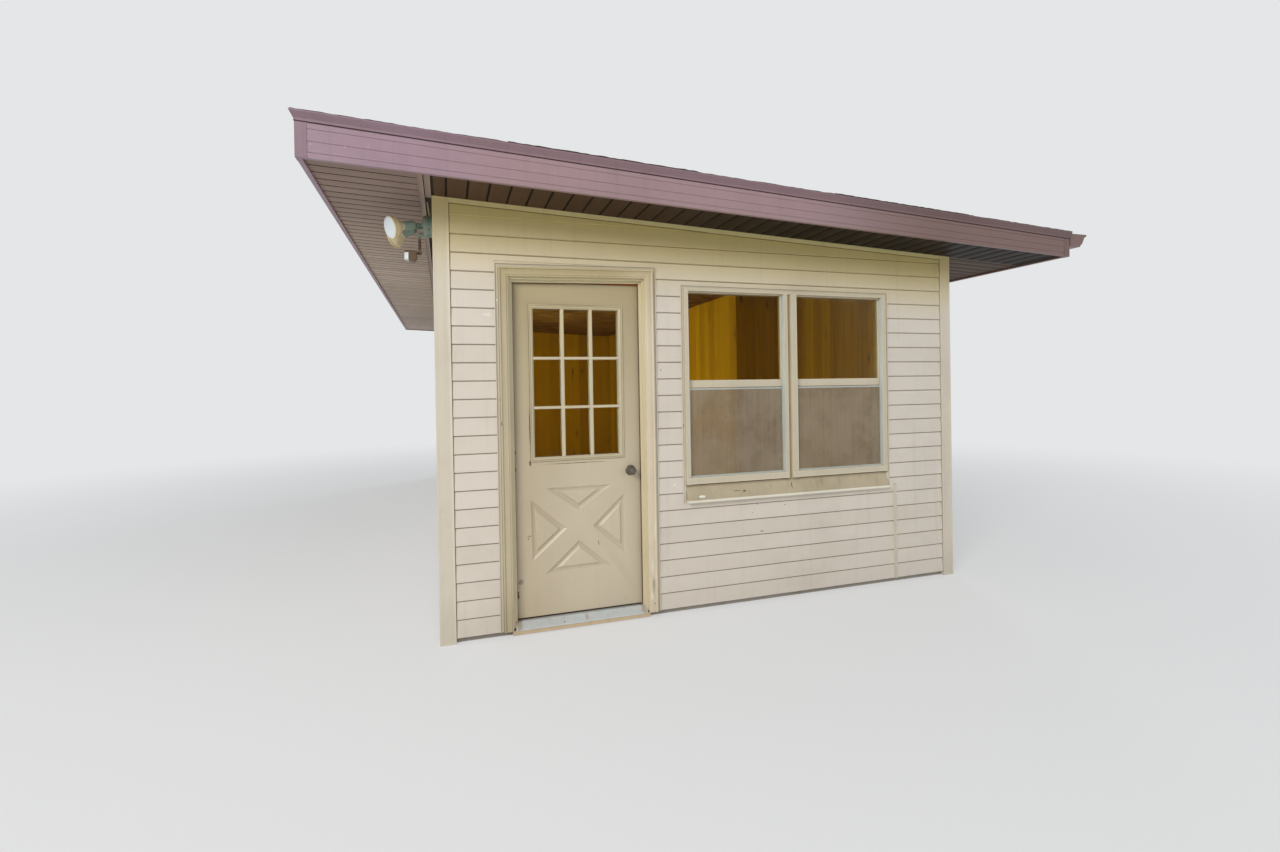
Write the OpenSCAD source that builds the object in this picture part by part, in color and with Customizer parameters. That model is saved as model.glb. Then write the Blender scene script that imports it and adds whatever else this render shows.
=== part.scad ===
// Lakeside boathouse: one room under a low single-pitch roof that falls away from the water.
// X runs right along the front wall, Y runs back into the building and Z is up.
// Each sub-part is drawn from the front lake-side corner of the siding at ground level.
// from_corner() then carries it to the origin, at the middle of the whole object's base.

/* [Walls] */
// Width of the front wall over the siding
wall_w = 3660; // [3500:10:4600]
// Depth of the building over the siding
wall_d = 7320; // [6000:10:9000]
// Thickness of a wall, from siding to inside boards
wall_t = 120; // [110:1:160]
// Height of the lower edge of the siding
siding_bottom = 30; // [15:1:60]
// Thickness of the siding, which hangs down past the floor's edge
siding_t = 20; // [12:1:30]
// Height of the concrete floor above the ground
floor_top = 40; // [32:1:60]
// Width of each face of the corner posts
post_face = 90; // [60:1:140]
// Height of the corner posts over the siding
post_proud = 12; // [8:1:20]
// Distance from the lake corner to the boards of the store along the hill side
store_x = 2960; // [2400:10:3200]
// Distance from the front to the boards of that store
store_y = 2070; // [1200:10:4000]
// Thickness of the store's walls
store_t = 60; // [40:5:100]
// Height of the trim strip under the soffit
frieze_h = 26; // [15:1:60]
// Thickness of the trim strip under the soffit
frieze_t = 9; // [5:1:16]

/* [Roof] */
// Height of the fascia's lower edge in line with the lake wall
eave_z = 2536; // [2480:5:2900]
// Fall of the soffit in millimetres for each metre
roof_fall = 41; // [20:1:60]
// How much faster the roof's top falls than its soffit, in millimetres for each metre
roof_taper = 8; // [0:1:15]
// Roof overhang on the lake side
lake_overhang = 610; // [450:5:800]
// Roof overhang on the hill side
hill_overhang = 740; // [300:5:800]
// Roof overhang at the front and the back
gable_overhang = 390; // [250:5:600]
// Height of the fascia below the roof edge trim, in line with the lake wall
fascia_h = 178; // [150:1:220]
// Thickness of the fascia boards
fascia_t = 25; // [18:1:40]
// How far the soffit lies above the fascia's lower edge
soffit_lip = 12; // [6:1:25]
// Thickness of the soffit panels
soffit_t = 12; // [8:1:20]
// Width of each brown channel beside the lake wall
channel_strip_w = 32; // [20:1:45]
// Width of the band that the two brown channels share
channel_band_w = 80; // [70:1:120]
// Height of the roof edge trim
edge_h = 31; // [25:1:80]
// How far the roof edge trim flares out at its top
edge_flare = 20; // [10:1:40]
// How far the roof edge trim stands out above the gutter
hill_lip = 8; // [4:1:12]
// Thickness of the roof edge trim
edge_t = 3; // [2:0.5:5]
// Width of the trim's flange on top of the roof
flange_w = 70; // [40:1:120]
// Thickness of the roofing
roofing_t = 8; // [5:1:15]
// How far the roofing runs out past the fascia
roofing_out = 15; // [5:1:25]

/* [Gutter] */
// Width of the gutter at its top
gutter_w = 165; // [120:1:180]
// Height of the gutter
gutter_h = 92; // [80:1:120]
// How far the gutter's top stands above the fascia
gutter_up = 30; // [0:1:34]
// Thickness of the timber between the fascia and the gutter
packer_t = 28; // [18:1:40]
// Height of that timber
packer_h = 58; // [40:1:60]
// Thickness of the gutter's metal
gutter_t = 2; // [1:0.5:3]
// How far each end of the gutter stops short of the roof's end
gutter_short = 12; // [5:1:100]
// Greatest distance between the gutter's hangers
hanger_pitch = 900; // [500:10:1200]

/* [Door] */
// Distance from the lake corner to the middle of the doorway
door_mid = 820; // [760:5:900]
// Clear width between the jambs
opening_w = 815; // [780:1:860]
// Height of the door leaf
leaf_h = 2017; // [1950:1:2060]
// Thickness of the door leaf
leaf_t = 45; // [38:1:50]
// Height of the leaf's lower edge
leaf_bottom = 75; // [70:1:110]
// How far the leaf stands back from the face of the siding
leaf_setback = 45; // [40:1:55]
// Gap between the leaf and the hinge jamb
hinge_gap = 5; // [5:0.5:8]
// Gap between the leaf and the latch jamb
latch_gap = 8; // [8:0.5:12]
// Gap between the leaf and the head at the hinge side
head_gap = 6; // [5:0.5:12]
// How much the racked head rises towards the latch side
head_rise = 20; // [0:1:30]
// Thickness of the jambs
jamb_t = 19; // [15:1:28]
// Width of the stops that the leaf closes against
stop_w = 14; // [12:1:18]
// Gap between the closed leaf and the stops
stop_gap = 5; // [5:0.5:8]
// Width of the moulded casing
casing_w = 55; // [40:1:90]
// Thickness of the moulded casing
casing_t = 26; // [20:1:35]
// Margin of jamb that shows inside the casing
casing_reveal = 12; // [5:1:16]
// Width of the channels that edge the siding round the door and windows
channel_w = 22; // [14:1:30]
// Thickness of those channels
channel_t = 13; // [8:1:18]

/* [Door lite] */
// Width of the lite frame
lite_w = 586; // [500:1:620]
// Height of the lite frame
lite_h = 952; // [850:1:1000]
// Height of the rail above the lite frame
top_rail = 140; // [110:1:170]
// Width of the lite frame's border
lite_border = 27; // [18:1:40]
// How far the lite frame stands off each face of the leaf
lite_proud = 8; // [4:1:10]
// Width of the glazing bars
bar_w = 22; // [14:1:30]
// Number of lites across, and down
lite_count = 3; // [2:1:4]
// Thickness of the door's glass
door_glass_t = 4; // [3:0.5:6]

/* [Crossbuck] */
// Width of the crossbuck field
buck_w = 594; // [480:1:620]
// Height of the rail between the lite frame and the crossbuck
lock_rail = 153; // [120:1:180]
// Height of the rail below the crossbuck
bottom_rail = 258; // [220:1:280]
// Width of the crossed bars between the raised panels
buck_bar = 118; // [80:1:140]
// How far the raised panels stand out
buck_proud = 6; // [3:1:9]

/* [Door furniture] */
// Distance from the leaf's latch edge to the middle of the knob
backset = 72; // [60:1:80]
// Height of the knob above the leaf's lower edge
knob_up = 852; // [820:1:880]
// Radius of the knob
knob_r = 26; // [22:0.5:30]
// Radius of the rose behind the knob
rose_r = 33; // [31:0.5:36]
// Radius of the knob's neck
neck_r = 12; // [9:0.5:14]
// Height of each hinge
hinge_h = 100; // [80:1:120]
// Radius of the hinge barrels
barrel_r = 6; // [5:0.5:8]

/* [Windows] */
// Distance from the lake corner to the middle of the front window
window_mid = 2290; // [2250:5:2400]
// Distance from the front to the middle of the lake window
lake_window_mid = 3660; // [2500:10:4500]
// Width of a twin window over its frame
window_w = 1566; // [1400:2:1600]
// How far the windows' upper edges lie below the doorway's head
window_drop = 17; // [0:1:60]
// Height of the sill's top at the sashes
sill_z = 815; // [760:1:900]
// Width of the window frame's sides
frame_face = 22; // [15:1:40]
// Height of the window frame's head
frame_head = 34; // [20:1:50]
// How far the window frame stands off the siding
frame_proud = 22; // [14:1:30]
// Width of the mullion between the two units
mullion_w = 80; // [60:1:120]
// Width of the sash stiles
stile_w = 22; // [16:1:40]
// Height of the meeting rails
rail_h = 45; // [30:1:60]
// Height of the upper sash's lower edge
meeting_z = 1444; // [1380:1:1500]
// Thickness of a sash
sash_t = 24; // [20:1:30]
// Thickness of the window glass
pane_t = 3; // [3:0.5:6]
// Width of the insect screens' frames
screen_bar = 14; // [10:1:20]

/* [Floodlight] */
// Distance of the floodlight from the front
light_y = 150; // [148:1:400]
// Height of the middle of the floodlight's round box
light_z = 2410; // [2300:1:2420]
// Radius of the round box's lid
light_lid_r = 64; // [56:1:64]
// Depth of the round box with its lid
light_box_t = 62; // [50:1:70]
// Thickness of the lid
light_lid_t = 27; // [15:1:30]
// Distance between the two lamps' arms
hub_spacing = 60; // [56:1:66]
// Distance of the lamps' pins from the siding
pivot_out = 92; // [90:1:120]
// Radius of the lamps at their faces
lamp_r = 64; // [50:1:66]
// Turn of the front lamp from straight out over the water towards the front
front_turn = 30; // [10:1:45]
// Tilt of the front lamp below level
front_tilt = 16; // [0:1:30]
// Turn of the rear lamp from straight out over the water towards the back
rear_turn = 26; // [20:1:50]
// Tilt of the rear lamp below level
rear_tilt = 19; // [0:1:35]
// Radius of the lamp holders
holder_r = 26; // [24:1:30]
// Distance of the sensor's arm from the siding
sensor_out = 85; // [80:1:100]
// Height of the sensor's pivot below the middle of the box
sensor_drop = 148; // [135:1:170]
// Width of the motion sensor
sensor_w = 62; // [50:1:70]
// Radius of the cable that feeds the box
cable_r = 3.5; // [2.5:0.5:4.5]

/* [Hidden] */
$fn = 48;

// Roof lines
fall = roof_fall / 1000;
top_fall = fall + roof_taper / 1000;
top_angle = atan(top_fall);
soffit_top = soffit_lip + soffit_t;
roof_x0 = -lake_overhang;
roof_x1 = wall_w + hill_overhang;
roof_y0 = -gable_overhang;
roof_y1 = wall_d + gable_overhang;
mitre_gap = 1;
far = 20000;

// Middle of the whole object's base
mid_x = (roof_x0 - edge_flare + roof_x1 + packer_t + gutter_w) / 2;
mid_y = wall_d / 2;

// Door positions
jamb_l = door_mid - opening_w / 2;
jamb_r = door_mid + opening_w / 2;
leaf_l = jamb_l + hinge_gap;
leaf_r = jamb_r - latch_gap;
leaf_mid = (leaf_l + leaf_r) / 2;
leaf_top = leaf_bottom + leaf_h;
leaf_in = leaf_setback + leaf_t;
head_l = leaf_top + head_gap;
head_r = head_l + head_rise;
head_top = head_r + jamb_t;
casing_l = jamb_l - casing_reveal;
casing_r = jamb_r + casing_reveal;
corner_l = head_l + casing_reveal;
corner_r = head_r + casing_reveal;
head_tilt = atan((corner_r - corner_l) / (casing_r - casing_l));
lite_up = leaf_h - top_rail - lite_h;
buck_h = lite_up - lock_rail - bottom_rail;
buck_up = bottom_rail + buck_h / 2;
stop_back = leaf_setback - stop_gap;
stop_t = 16;
pin_x = jamb_l + hinge_gap / 2;
pin_y = leaf_in + barrel_r + 0.5;
knob_x = leaf_r - backset;
knob_z = leaf_bottom + knob_up;
running = 0.3;

// Window positions
window_top = head_l - window_drop;
half_w = window_w / 2;
window_l = window_mid - half_w;
window_r = window_mid + half_w;
unit_in = mullion_w / 2;
unit_out = half_w - frame_face;
head_z = window_top - frame_head;
sill_drop = 75;
sill_low = sill_z - sill_drop - 18;
screen_y = 4;
screen_t = 8;
upper_y = 16;
lower_y = upper_y + sash_t + 4;

// Floodlight positions
light_body_r = light_lid_r - 4;
hub_z = light_z + 3;
front_pivot = [-pivot_out, light_y - hub_spacing / 2, hub_z];
rear_pivot = [-pivot_out, light_y + hub_spacing / 2, hub_z];
knuckle_r = 11;
knuckle_w = 10;
arm_z = light_z - light_lid_r + 16;
arm_r = 8;
sensor_pivot = [-sensor_out, light_y, light_z - sensor_drop];
cable_top_x = -channel_band_w / 2;
cable_foot_x = cable_top_x + 12;

// Heights of the fascia's lower and upper edges above a place x along the front
function line_z(x) = eave_z - fall * x;
function cap_z(x) = eave_z + fascia_h - top_fall * x;
function unit(v) = v / norm(v);

module from_corner() {
    translate([-mid_x, -mid_y, 0]) children();
}

// Outline in X and Z, run along Y
module prism_y(points, y0, y1) {
    translate([0, y1, 0]) rotate([90, 0, 0]) linear_extrude(y1 - y0) polygon(points);
}

// Outline in Y and Z, run along X
module prism_x(points, x0, x1) {
    translate([x0, 0, 0]) rotate([90, 0, 90]) linear_extrude(x1 - x0) polygon(points);
}

module block(from, to) {
    translate(from) cube(to - from);
}

// Slab between two heights above the fascia's lower edge, which falls along X
module sloped(x0, x1, low, high, y0, y1) {
    prism_y([[x0, line_z(x0) + low], [x1, line_z(x1) + low],
        [x1, line_z(x1) + high], [x0, line_z(x0) + high]], y0, y1);
}

// Slab between two heights above the fascia's upper edge
module capping(x0, x1, low, high, y0, y1) {
    prism_y([[x0, cap_z(x0) + low], [x1, cap_z(x1) + low],
        [x1, cap_z(x1) + high], [x0, cap_z(x0) + high]], y0, y1);
}

// Slab from a height above the fascia's lower edge up to the underside of the roofing
module tapered(x0, x1, low, y0, y1) {
    prism_y([[x0, line_z(x0) + low], [x1, line_z(x1) + low],
        [x1, cap_z(x1) + edge_h], [x0, cap_z(x0) + edge_h]], y0, y1);
}

// Wall from a flat bottom up to the sloping underside of the roof
module wall_block(x0, x1, y0, y1, bottom, high = soffit_top) {
    prism_y([[x0, bottom], [x1, bottom], [x1, line_z(x1) + high], [x0, line_z(x0) + high]], y0, y1);
}

module both_windows() {
    translate([window_mid, 0, 0]) children();
    translate([0, lake_window_mid, 0]) rotate([0, 0, -90]) children();
}

module both_units() {
    children();
    mirror([1, 0, 0]) children();
}

// Floor and walls

module floor_slab() {
    color("darkgray") from_corner()
        block([siding_t, siding_t, 0], [wall_w - siding_t, wall_d - siding_t, floor_top]);
}

// Piece of the front or back wall, with its siding hanging past the floor's edge
module end_wall_piece(x0, x1, y_out, inward) {
    y_in = y_out + inward * wall_t;
    y_skin = y_out + inward * siding_t;
    wall_block(x0, x1, min(y_skin, y_in), max(y_skin, y_in), floor_top);
    wall_block(x0, x1, min(y_out, y_skin), max(y_out, y_skin), siding_bottom);
}

// Piece of the lake or hill wall, between the end walls
module side_wall_piece(y0, y1, x_out, inward) {
    x_in = x_out + inward * wall_t;
    x_skin = x_out + inward * siding_t;
    wall_block(min(x_skin, x_in), max(x_skin, x_in), y0, y1, floor_top);
    wall_block(min(x_out, x_skin), max(x_out, x_skin), y0, y1, siding_bottom);
}

module front_wall_left() {
    color("antiquewhite") from_corner() end_wall_piece(0, jamb_l - jamb_t, 0, 1);
}

module front_wall_over_door() {
    color("antiquewhite") from_corner()
        wall_block(jamb_l - jamb_t, jamb_r + jamb_t, 0, wall_t, head_top);
}

module front_wall_pier() {
    color("antiquewhite") from_corner() end_wall_piece(jamb_r + jamb_t, window_l, 0, 1);
}

module front_wall_over_window() {
    color("antiquewhite") from_corner() wall_block(window_l, window_r, 0, wall_t, window_top);
}

module front_wall_under_window() {
    color("antiquewhite") from_corner() {
        block([window_l, 0, siding_bottom], [window_r, siding_t, sill_z - sill_drop]);
        block([window_l, siding_t, floor_top], [window_r, wall_t, sill_z - sill_drop]);
    }
}

module front_wall_right() {
    color("antiquewhite") from_corner() end_wall_piece(window_r, wall_w, 0, 1);
}

module lake_wall_front() {
    color("antiquewhite") from_corner() side_wall_piece(wall_t, lake_window_mid - half_w, 0, 1);
}

module lake_wall_over_window() {
    color("antiquewhite") from_corner()
        wall_block(0, wall_t, lake_window_mid - half_w, lake_window_mid + half_w, window_top);
}

module lake_wall_under_window() {
    y0 = lake_window_mid - half_w;
    y1 = lake_window_mid + half_w;
    color("antiquewhite") from_corner() {
        block([0, y0, siding_bottom], [siding_t, y1, sill_z - sill_drop]);
        block([siding_t, y0, floor_top], [wall_t, y1, sill_z - sill_drop]);
    }
}

module lake_wall_back() {
    color("antiquewhite") from_corner()
        side_wall_piece(lake_window_mid + half_w, wall_d - wall_t, 0, 1);
}

module hill_wall() {
    color("antiquewhite") from_corner() side_wall_piece(wall_t, wall_d - wall_t, wall_w, -1);
}

module back_wall() {
    color("antiquewhite") from_corner() end_wall_piece(0, wall_w, wall_d, -1);
}

// Boarded wall inside that closes a store off along the hill side
module store_wall() {
    color("goldenrod") from_corner() {
        wall_block(store_x, store_x + store_t, store_y, wall_d - wall_t, floor_top);
        wall_block(store_x, wall_w - wall_t, store_y, store_y + store_t, floor_top);
    }
}

// Plan of the angle that wraps the corner at the origin
module post_plan() {
    arm = post_face - post_proud;
    polygon([[-post_proud, -post_proud], [arm, -post_proud], [arm, 0], [0, 0],
        [0, arm], [-post_proud, arm]]);
}

module corner_posts() {
    color("wheat") from_corner() intersection() {
        union() {
            for (cx = [0, 1], cy = [0, 1])
                translate([cx * wall_w, cy * wall_d, 0]) mirror([cx, 0, 0]) mirror([0, cy, 0])
                    linear_extrude(far / 4) post_plan();
        }
        wall_block(-far, far, -far, far, 0, soffit_lip - running);
    }
}

module frieze() {
    high = soffit_lip - running;
    low = high - frieze_h;
    arm = post_face - post_proud;
    color("wheat") from_corner() {
        sloped(arm, wall_w - arm, low, high, -frieze_t, 0);
        sloped(arm, wall_w - arm, low, high, wall_d, wall_d + frieze_t);
        sloped(-frieze_t, 0, low, high, arm, wall_d - arm);
        sloped(wall_w, wall_w + frieze_t, low, high, arm, wall_d - arm);
    }
}

// Roof

module roof_deck() {
    color("saddlebrown") from_corner()
        tapered(roof_x0 + fascia_t, roof_x1 - fascia_t, soffit_top + running,
            roof_y0 + fascia_t, roof_y1 - fascia_t);
}

module roofing() {
    inset = flange_w + mitre_gap;
    under = edge_h + edge_t + 2 * running;
    color("dimgray") from_corner() {
        capping(roof_x0 - roofing_out, roof_x1 + hill_lip + 6, under, under + roofing_t,
            roof_y0 - roofing_out, roof_y1 + roofing_out);
        capping(roof_x0 + inset, roof_x1 - inset, edge_h + running, under + 1,
            roof_y0 + inset, roof_y1 - inset);
    }
}

// Section of the edge trim: how far out it goes from the fascia, and its height above the fascia
function edge_section(flare) = [[running, 0], [edge_t, 0], [flare, edge_h - 4],
    [flare, edge_h + edge_t], [-flange_w, edge_h + edge_t],
    [-flange_w, edge_h + running], [running, edge_h + running]];

// Plan of one side of the edge trim, cut to a mitre at both ends
module mitred_side(length) {
    outer = edge_flare + 1;
    inner = -flange_w - 1;
    polygon([[-outer + mitre_gap, -outer], [length + outer - mitre_gap, -outer],
        [length - flange_w - 1 - mitre_gap, -inner], [flange_w + 1 + mitre_gap, -inner]]);
}

module edge_along_y(x_face, outward, flare) {
    prism_y([for (p = edge_section(flare)) let (x = x_face + outward * p[0]) [x, cap_z(x) + p[1]]],
        roof_y0 - edge_flare, roof_y1 + edge_flare);
}

module edge_along_x(y_face, outward) {
    reach = edge_flare / cos(top_angle);
    translate([0, 0, cap_z(0)]) rotate([0, top_angle, 0])
        prism_x([for (p = edge_section(edge_flare)) [y_face + outward * p[0], p[1] * cos(top_angle)]],
            roof_x0 / cos(top_angle) - 3 * reach, roof_x1 / cos(top_angle) + 3 * reach);
}

// All that lies no further out than the trim above the gutter
module up_to_hill_lip() {
    block([roof_x0 - far / 8, roof_y0 - far / 8, 0], [roof_x1 + hill_lip, roof_y1 + far / 8, far / 4]);
}

module roof_edge() {
    length_x = roof_x1 - roof_x0;
    length_y = roof_y1 - roof_y0;
    color("rosybrown") from_corner() {
        intersection() {
            edge_along_x(roof_y0, -1);
            translate([roof_x0, roof_y0, 0]) linear_extrude(far / 4) mitred_side(length_x);
            up_to_hill_lip();
        }
        intersection() {
            edge_along_x(roof_y1, 1);
            translate([roof_x1, roof_y1, 0]) rotate([0, 0, 180])
                linear_extrude(far / 4) mitred_side(length_x);
            up_to_hill_lip();
        }
        intersection() {
            edge_along_y(roof_x0, -1, edge_flare);
            translate([roof_x0, roof_y1, 0]) rotate([0, 0, -90])
                linear_extrude(far / 4) mitred_side(length_y);
        }
        intersection() {
            edge_along_y(roof_x1, 1, hill_lip);
            translate([roof_x1, roof_y0, 0]) rotate([0, 0, 90])
                linear_extrude(far / 4) mitred_side(length_y);
        }
    }
}

module rake_fascias() {
    color("rosybrown") from_corner() {
        tapered(roof_x0, roof_x1, 0, roof_y0, roof_y0 + fascia_t);
        tapered(roof_x0, roof_x1, 0, roof_y1 - fascia_t, roof_y1);
    }
}

module eave_fascias() {
    color("rosybrown") from_corner() {
        tapered(roof_x0, roof_x0 + fascia_t, 0, roof_y0 + fascia_t, roof_y1 - fascia_t);
        tapered(roof_x1 - fascia_t, roof_x1, 0, roof_y0 + fascia_t, roof_y1 - fascia_t);
        block([roof_x1, roof_y0 + gutter_short, cap_z(roof_x1) - packer_h - 4],
            [roof_x1 + packer_t, roof_y1 - gutter_short, cap_z(roof_x1) - 4]);
    }
}

module rake_soffits() {
    color("saddlebrown") from_corner() {
        sloped(0, roof_x1 - fascia_t, soffit_lip, soffit_top, roof_y0 + fascia_t, 0);
        sloped(0, roof_x1 - fascia_t, soffit_lip, soffit_top, wall_d, roof_y1 - fascia_t);
    }
}

module eave_soffits() {
    color("rosybrown") from_corner() {
        sloped(roof_x0 + fascia_t, -channel_band_w, soffit_lip, soffit_top,
            roof_y0 + fascia_t, roof_y1 - fascia_t);
        sloped(wall_w, roof_x1 - fascia_t, soffit_lip, soffit_top, 0, wall_d);
    }
}

// Two brown channels beside the lake wall, with a dark gap between them
module soffit_channels() {
    color("saddlebrown") from_corner()
        for (x0 = [-channel_band_w, -channel_strip_w])
            sloped(x0, x0 + channel_strip_w, soffit_lip, soffit_top,
                roof_y0 + fascia_t, roof_y1 - fascia_t);
}

// Gutter

// Ogee front of the gutter, from its foot to its lip: a hollow below and a round above
function ogee(foot, lip, steps) = [for (i = [0 : steps]) let (s = i / steps)
    [foot[0] + (lip[0] - foot[0]) * s,
     foot[1] + (lip[1] - foot[1]) * (s - sin(360 * s) / 7)]];

function shifted(points, i) = let (last = len(points) - 1,
    a = unit(points[min(i + 1, last)] - points[max(i - 1, 0)])) [-a[1], a[0]];

module gutter() {
    x0 = roof_x1 + packer_t;
    top = cap_z(roof_x1) + gutter_up;
    low = top - gutter_h;
    foot_x = x0 + gutter_w * 0.62;
    lip_x = x0 + gutter_w;
    y0 = roof_y0 + gutter_short;
    y1 = roof_y1 - gutter_short;
    front = ogee([foot_x, low + 12], [lip_x - gutter_t - 1, top - 14], 12);
    outer = concat([[x0, top], [x0, low], [foot_x, low]], front,
        [[lip_x, top - 14], [lip_x, top], [lip_x - 14, top]]);
    shell = concat([[x0, top], [x0, low], [foot_x, low]], front,
        [[lip_x, top - 14], [lip_x, top], [lip_x - 14, top], [lip_x - 14, top - gutter_t],
         [lip_x - gutter_t, top - gutter_t], [lip_x - gutter_t, top - 14 + gutter_t]],
        [for (i = [len(front) - 2 : -1 : 0]) front[i] + gutter_t * shifted(front, i)],
        [[foot_x - gutter_t, low + gutter_t], [x0 + gutter_t, low + gutter_t],
         [x0 + gutter_t, top]]);
    hangers = ceil((y1 - y0) / hanger_pitch);
    color("saddlebrown") from_corner() {
        prism_y(shell, y0, y1);
        for (y = [y0, y1 - gutter_t])
            prism_y(outer, y, y + gutter_t);
        for (i = [1 : hangers - 1])
            let (y = y0 + i * (y1 - y0) / hangers)
                block([x0, y - 12, top - 8], [lip_x - gutter_t / 2, y + 12, top - 6]);
    }
}

// Doorway

module door_frame() {
    color("tan") from_corner() {
        for (side = [0, 1]) {
            outer = side == 0 ? jamb_l - jamb_t : jamb_r;
            face = side == 0 ? jamb_l : jamb_r - stop_w;
            cut = side == 0 ? head_l : head_r;
            block([outer, 0, floor_top], [outer + jamb_t, leaf_in, cut - 1]);
            block([face, stop_back - stop_t, floor_top + 31], [face + stop_w, stop_back, cut - stop_w - 1]);
        }
        prism_y([[jamb_l - jamb_t, head_l], [jamb_l, head_l], [jamb_r, head_r],
            [jamb_r + jamb_t, head_r], [jamb_r + jamb_t, head_top], [jamb_l - jamb_t, head_top]],
            0, leaf_in);
        prism_y([[jamb_l, head_l - stop_w], [jamb_r, head_r - stop_w], [jamb_r, head_r],
            [jamb_l, head_l]], stop_back - stop_t, stop_back);
    }
}

// Section of the casing: distance from its inner edge, and depth from the siding
function casing_section() = [[0, 0], [0, -casing_t * 0.45], [casing_w * 0.12, -casing_t * 0.6],
    [casing_w * 0.22, -casing_t * 0.62], [casing_w * 0.3, -casing_t * 0.8],
    [casing_w * 0.62, -casing_t * 0.86], [casing_w * 0.78, -casing_t], [casing_w, -casing_t],
    [casing_w, 0]];

// Height of the head casing's outer edge above a place x along the front
function head_line(x) = corner_l + casing_w / cos(head_tilt) + (x - casing_l) * tan(head_tilt)
    + running;

// Upright casing whose inner edge lies on x, on the side that outward names
module casing_upright(x, outward, bottom, corner_z) {
    intersection() {
        translate([x, 0, bottom]) linear_extrude(corner_z + 2 * casing_w - bottom)
            polygon([for (p = casing_section()) [outward * p[0], p[1]]]);
        prism_y([[x - outward, bottom - 1], [x - outward, corner_z - 1 - mitre_gap],
            [x, corner_z - mitre_gap], [x + outward * casing_w, corner_z + casing_w - mitre_gap],
            [x + outward * (casing_w + 1), bottom - 1]], -2 * casing_t, 1);
    }
}

module door_casing() {
    color("tan") from_corner() {
        casing_upright(casing_l, -1, siding_bottom, corner_l);
        casing_upright(casing_r, 1, siding_bottom, corner_r);
        intersection() {
            translate([casing_l, 0, corner_l]) rotate([0, -head_tilt, 0])
                prism_x([for (p = casing_section()) [p[1], p[0]]], -2 * casing_w,
                    casing_r - casing_l + 2 * casing_w);
            prism_y([[casing_l + 1, corner_l - 5], [casing_r - 1, corner_r - 5],
                [casing_r, corner_r], [casing_r + casing_w, corner_r + casing_w],
                [casing_r + casing_w, corner_r + 2 * casing_w],
                [casing_l - casing_w, corner_l + 2 * casing_w], [casing_l - casing_w, corner_l + casing_w],
                [casing_l, corner_l]], -2 * casing_t, 1);
        }
    }
}

// Wood sill under the threshold, in the thickness of the floor's edge
module door_sill() {
    color("peru") from_corner()
        block([jamb_l - jamb_t, -16, 6], [jamb_r + jamb_t, siding_t, siding_bottom]);
}

module door_threshold() {
    top = leaf_bottom - 6;
    color("silver") from_corner() {
        prism_x([[-22, siding_bottom], [siding_t, siding_bottom], [siding_t, floor_top],
            [leaf_in, floor_top], [leaf_in, top - 8], [leaf_in - 12, top - 4],
            [leaf_setback + 4, top], [leaf_setback - 22, top], [-22, siding_bottom + 8]],
            jamb_l, jamb_r);
    }
}

module channel_ring_side(x, outward, z0, z1) {
    x1 = x + outward * channel_w;
    block([min(x, x1), -channel_t, z0], [max(x, x1), 0, z1]);
}

// Channels that hold the cut ends of the siding round the door and the windows
module trim_channels() {
    left = casing_l - casing_w;
    right = casing_r + casing_w;
    far_l = left - channel_w;
    far_r = right + channel_w;
    end_x = window_r + 62;
    color("wheat") from_corner() {
        channel_ring_side(left, -1, siding_bottom, head_line(far_l) - 1);
        channel_ring_side(right, 1, siding_bottom, head_line(right) - 1);
        prism_y([[far_l, head_line(far_l)], [far_r, head_line(far_r)],
            [far_r, head_line(far_r) + channel_w], [far_l, head_line(far_l) + channel_w]],
            -channel_t, 0);
        channel_ring_side(end_x, 1, siding_bottom, sill_low);
        both_windows() {
            channel_ring_side(-half_w, -1, sill_low, window_top);
            channel_ring_side(half_w, 1, sill_low, window_top);
            block([-half_w - channel_w, -channel_t, window_top + 1],
                [half_w + channel_w, 0, window_top + channel_w]);
            block([-half_w - channel_w, -channel_t, sill_low - channel_w],
                [half_w + channel_w, 0, sill_low - 1]);
        }
    }
}

// Door

module lite_hole(grow, y0, y1) {
    translate([leaf_mid, 0, leaf_bottom + lite_up + lite_h / 2])
        block([-lite_w / 2 + lite_border - grow, y0, -lite_h / 2 + lite_border - grow],
            [lite_w / 2 - lite_border + grow, y1, lite_h / 2 - lite_border + grow]);
}

// Triangle drawn in by the same distance on all three sides
function inset_triangle(t, d) = let (a = norm(t[1] - t[2]), b = norm(t[2] - t[0]),
    c = norm(t[0] - t[1]), whole = a + b + c, centre = (a * t[0] + b * t[1] + c * t[2]) / whole,
    u = t[1] - t[0], v = t[2] - t[0], r = abs(u[0] * v[1] - u[1] * v[0]) / whole)
    [for (p = t) centre + (p - centre) * (1 - d / r)];

// The four triangles that the crossed bars leave of the field
function buck_triangles() = let (hw = buck_w / 2, hh = buck_h / 2, slant = norm([hw, hh]),
    dx = buck_bar / 2 * slant / hh, dz = buck_bar / 2 * slant / hw)
    [[[-hw + dx, hh], [0, dz], [hw - dx, hh]], [[-hw + dx, -hh], [hw - dx, -hh], [0, -dz]],
     [[-hw, hh - dz], [-hw, -hh + dz], [-dx, 0]], [[hw, hh - dz], [dx, 0], [hw, -hh + dz]]];

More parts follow.
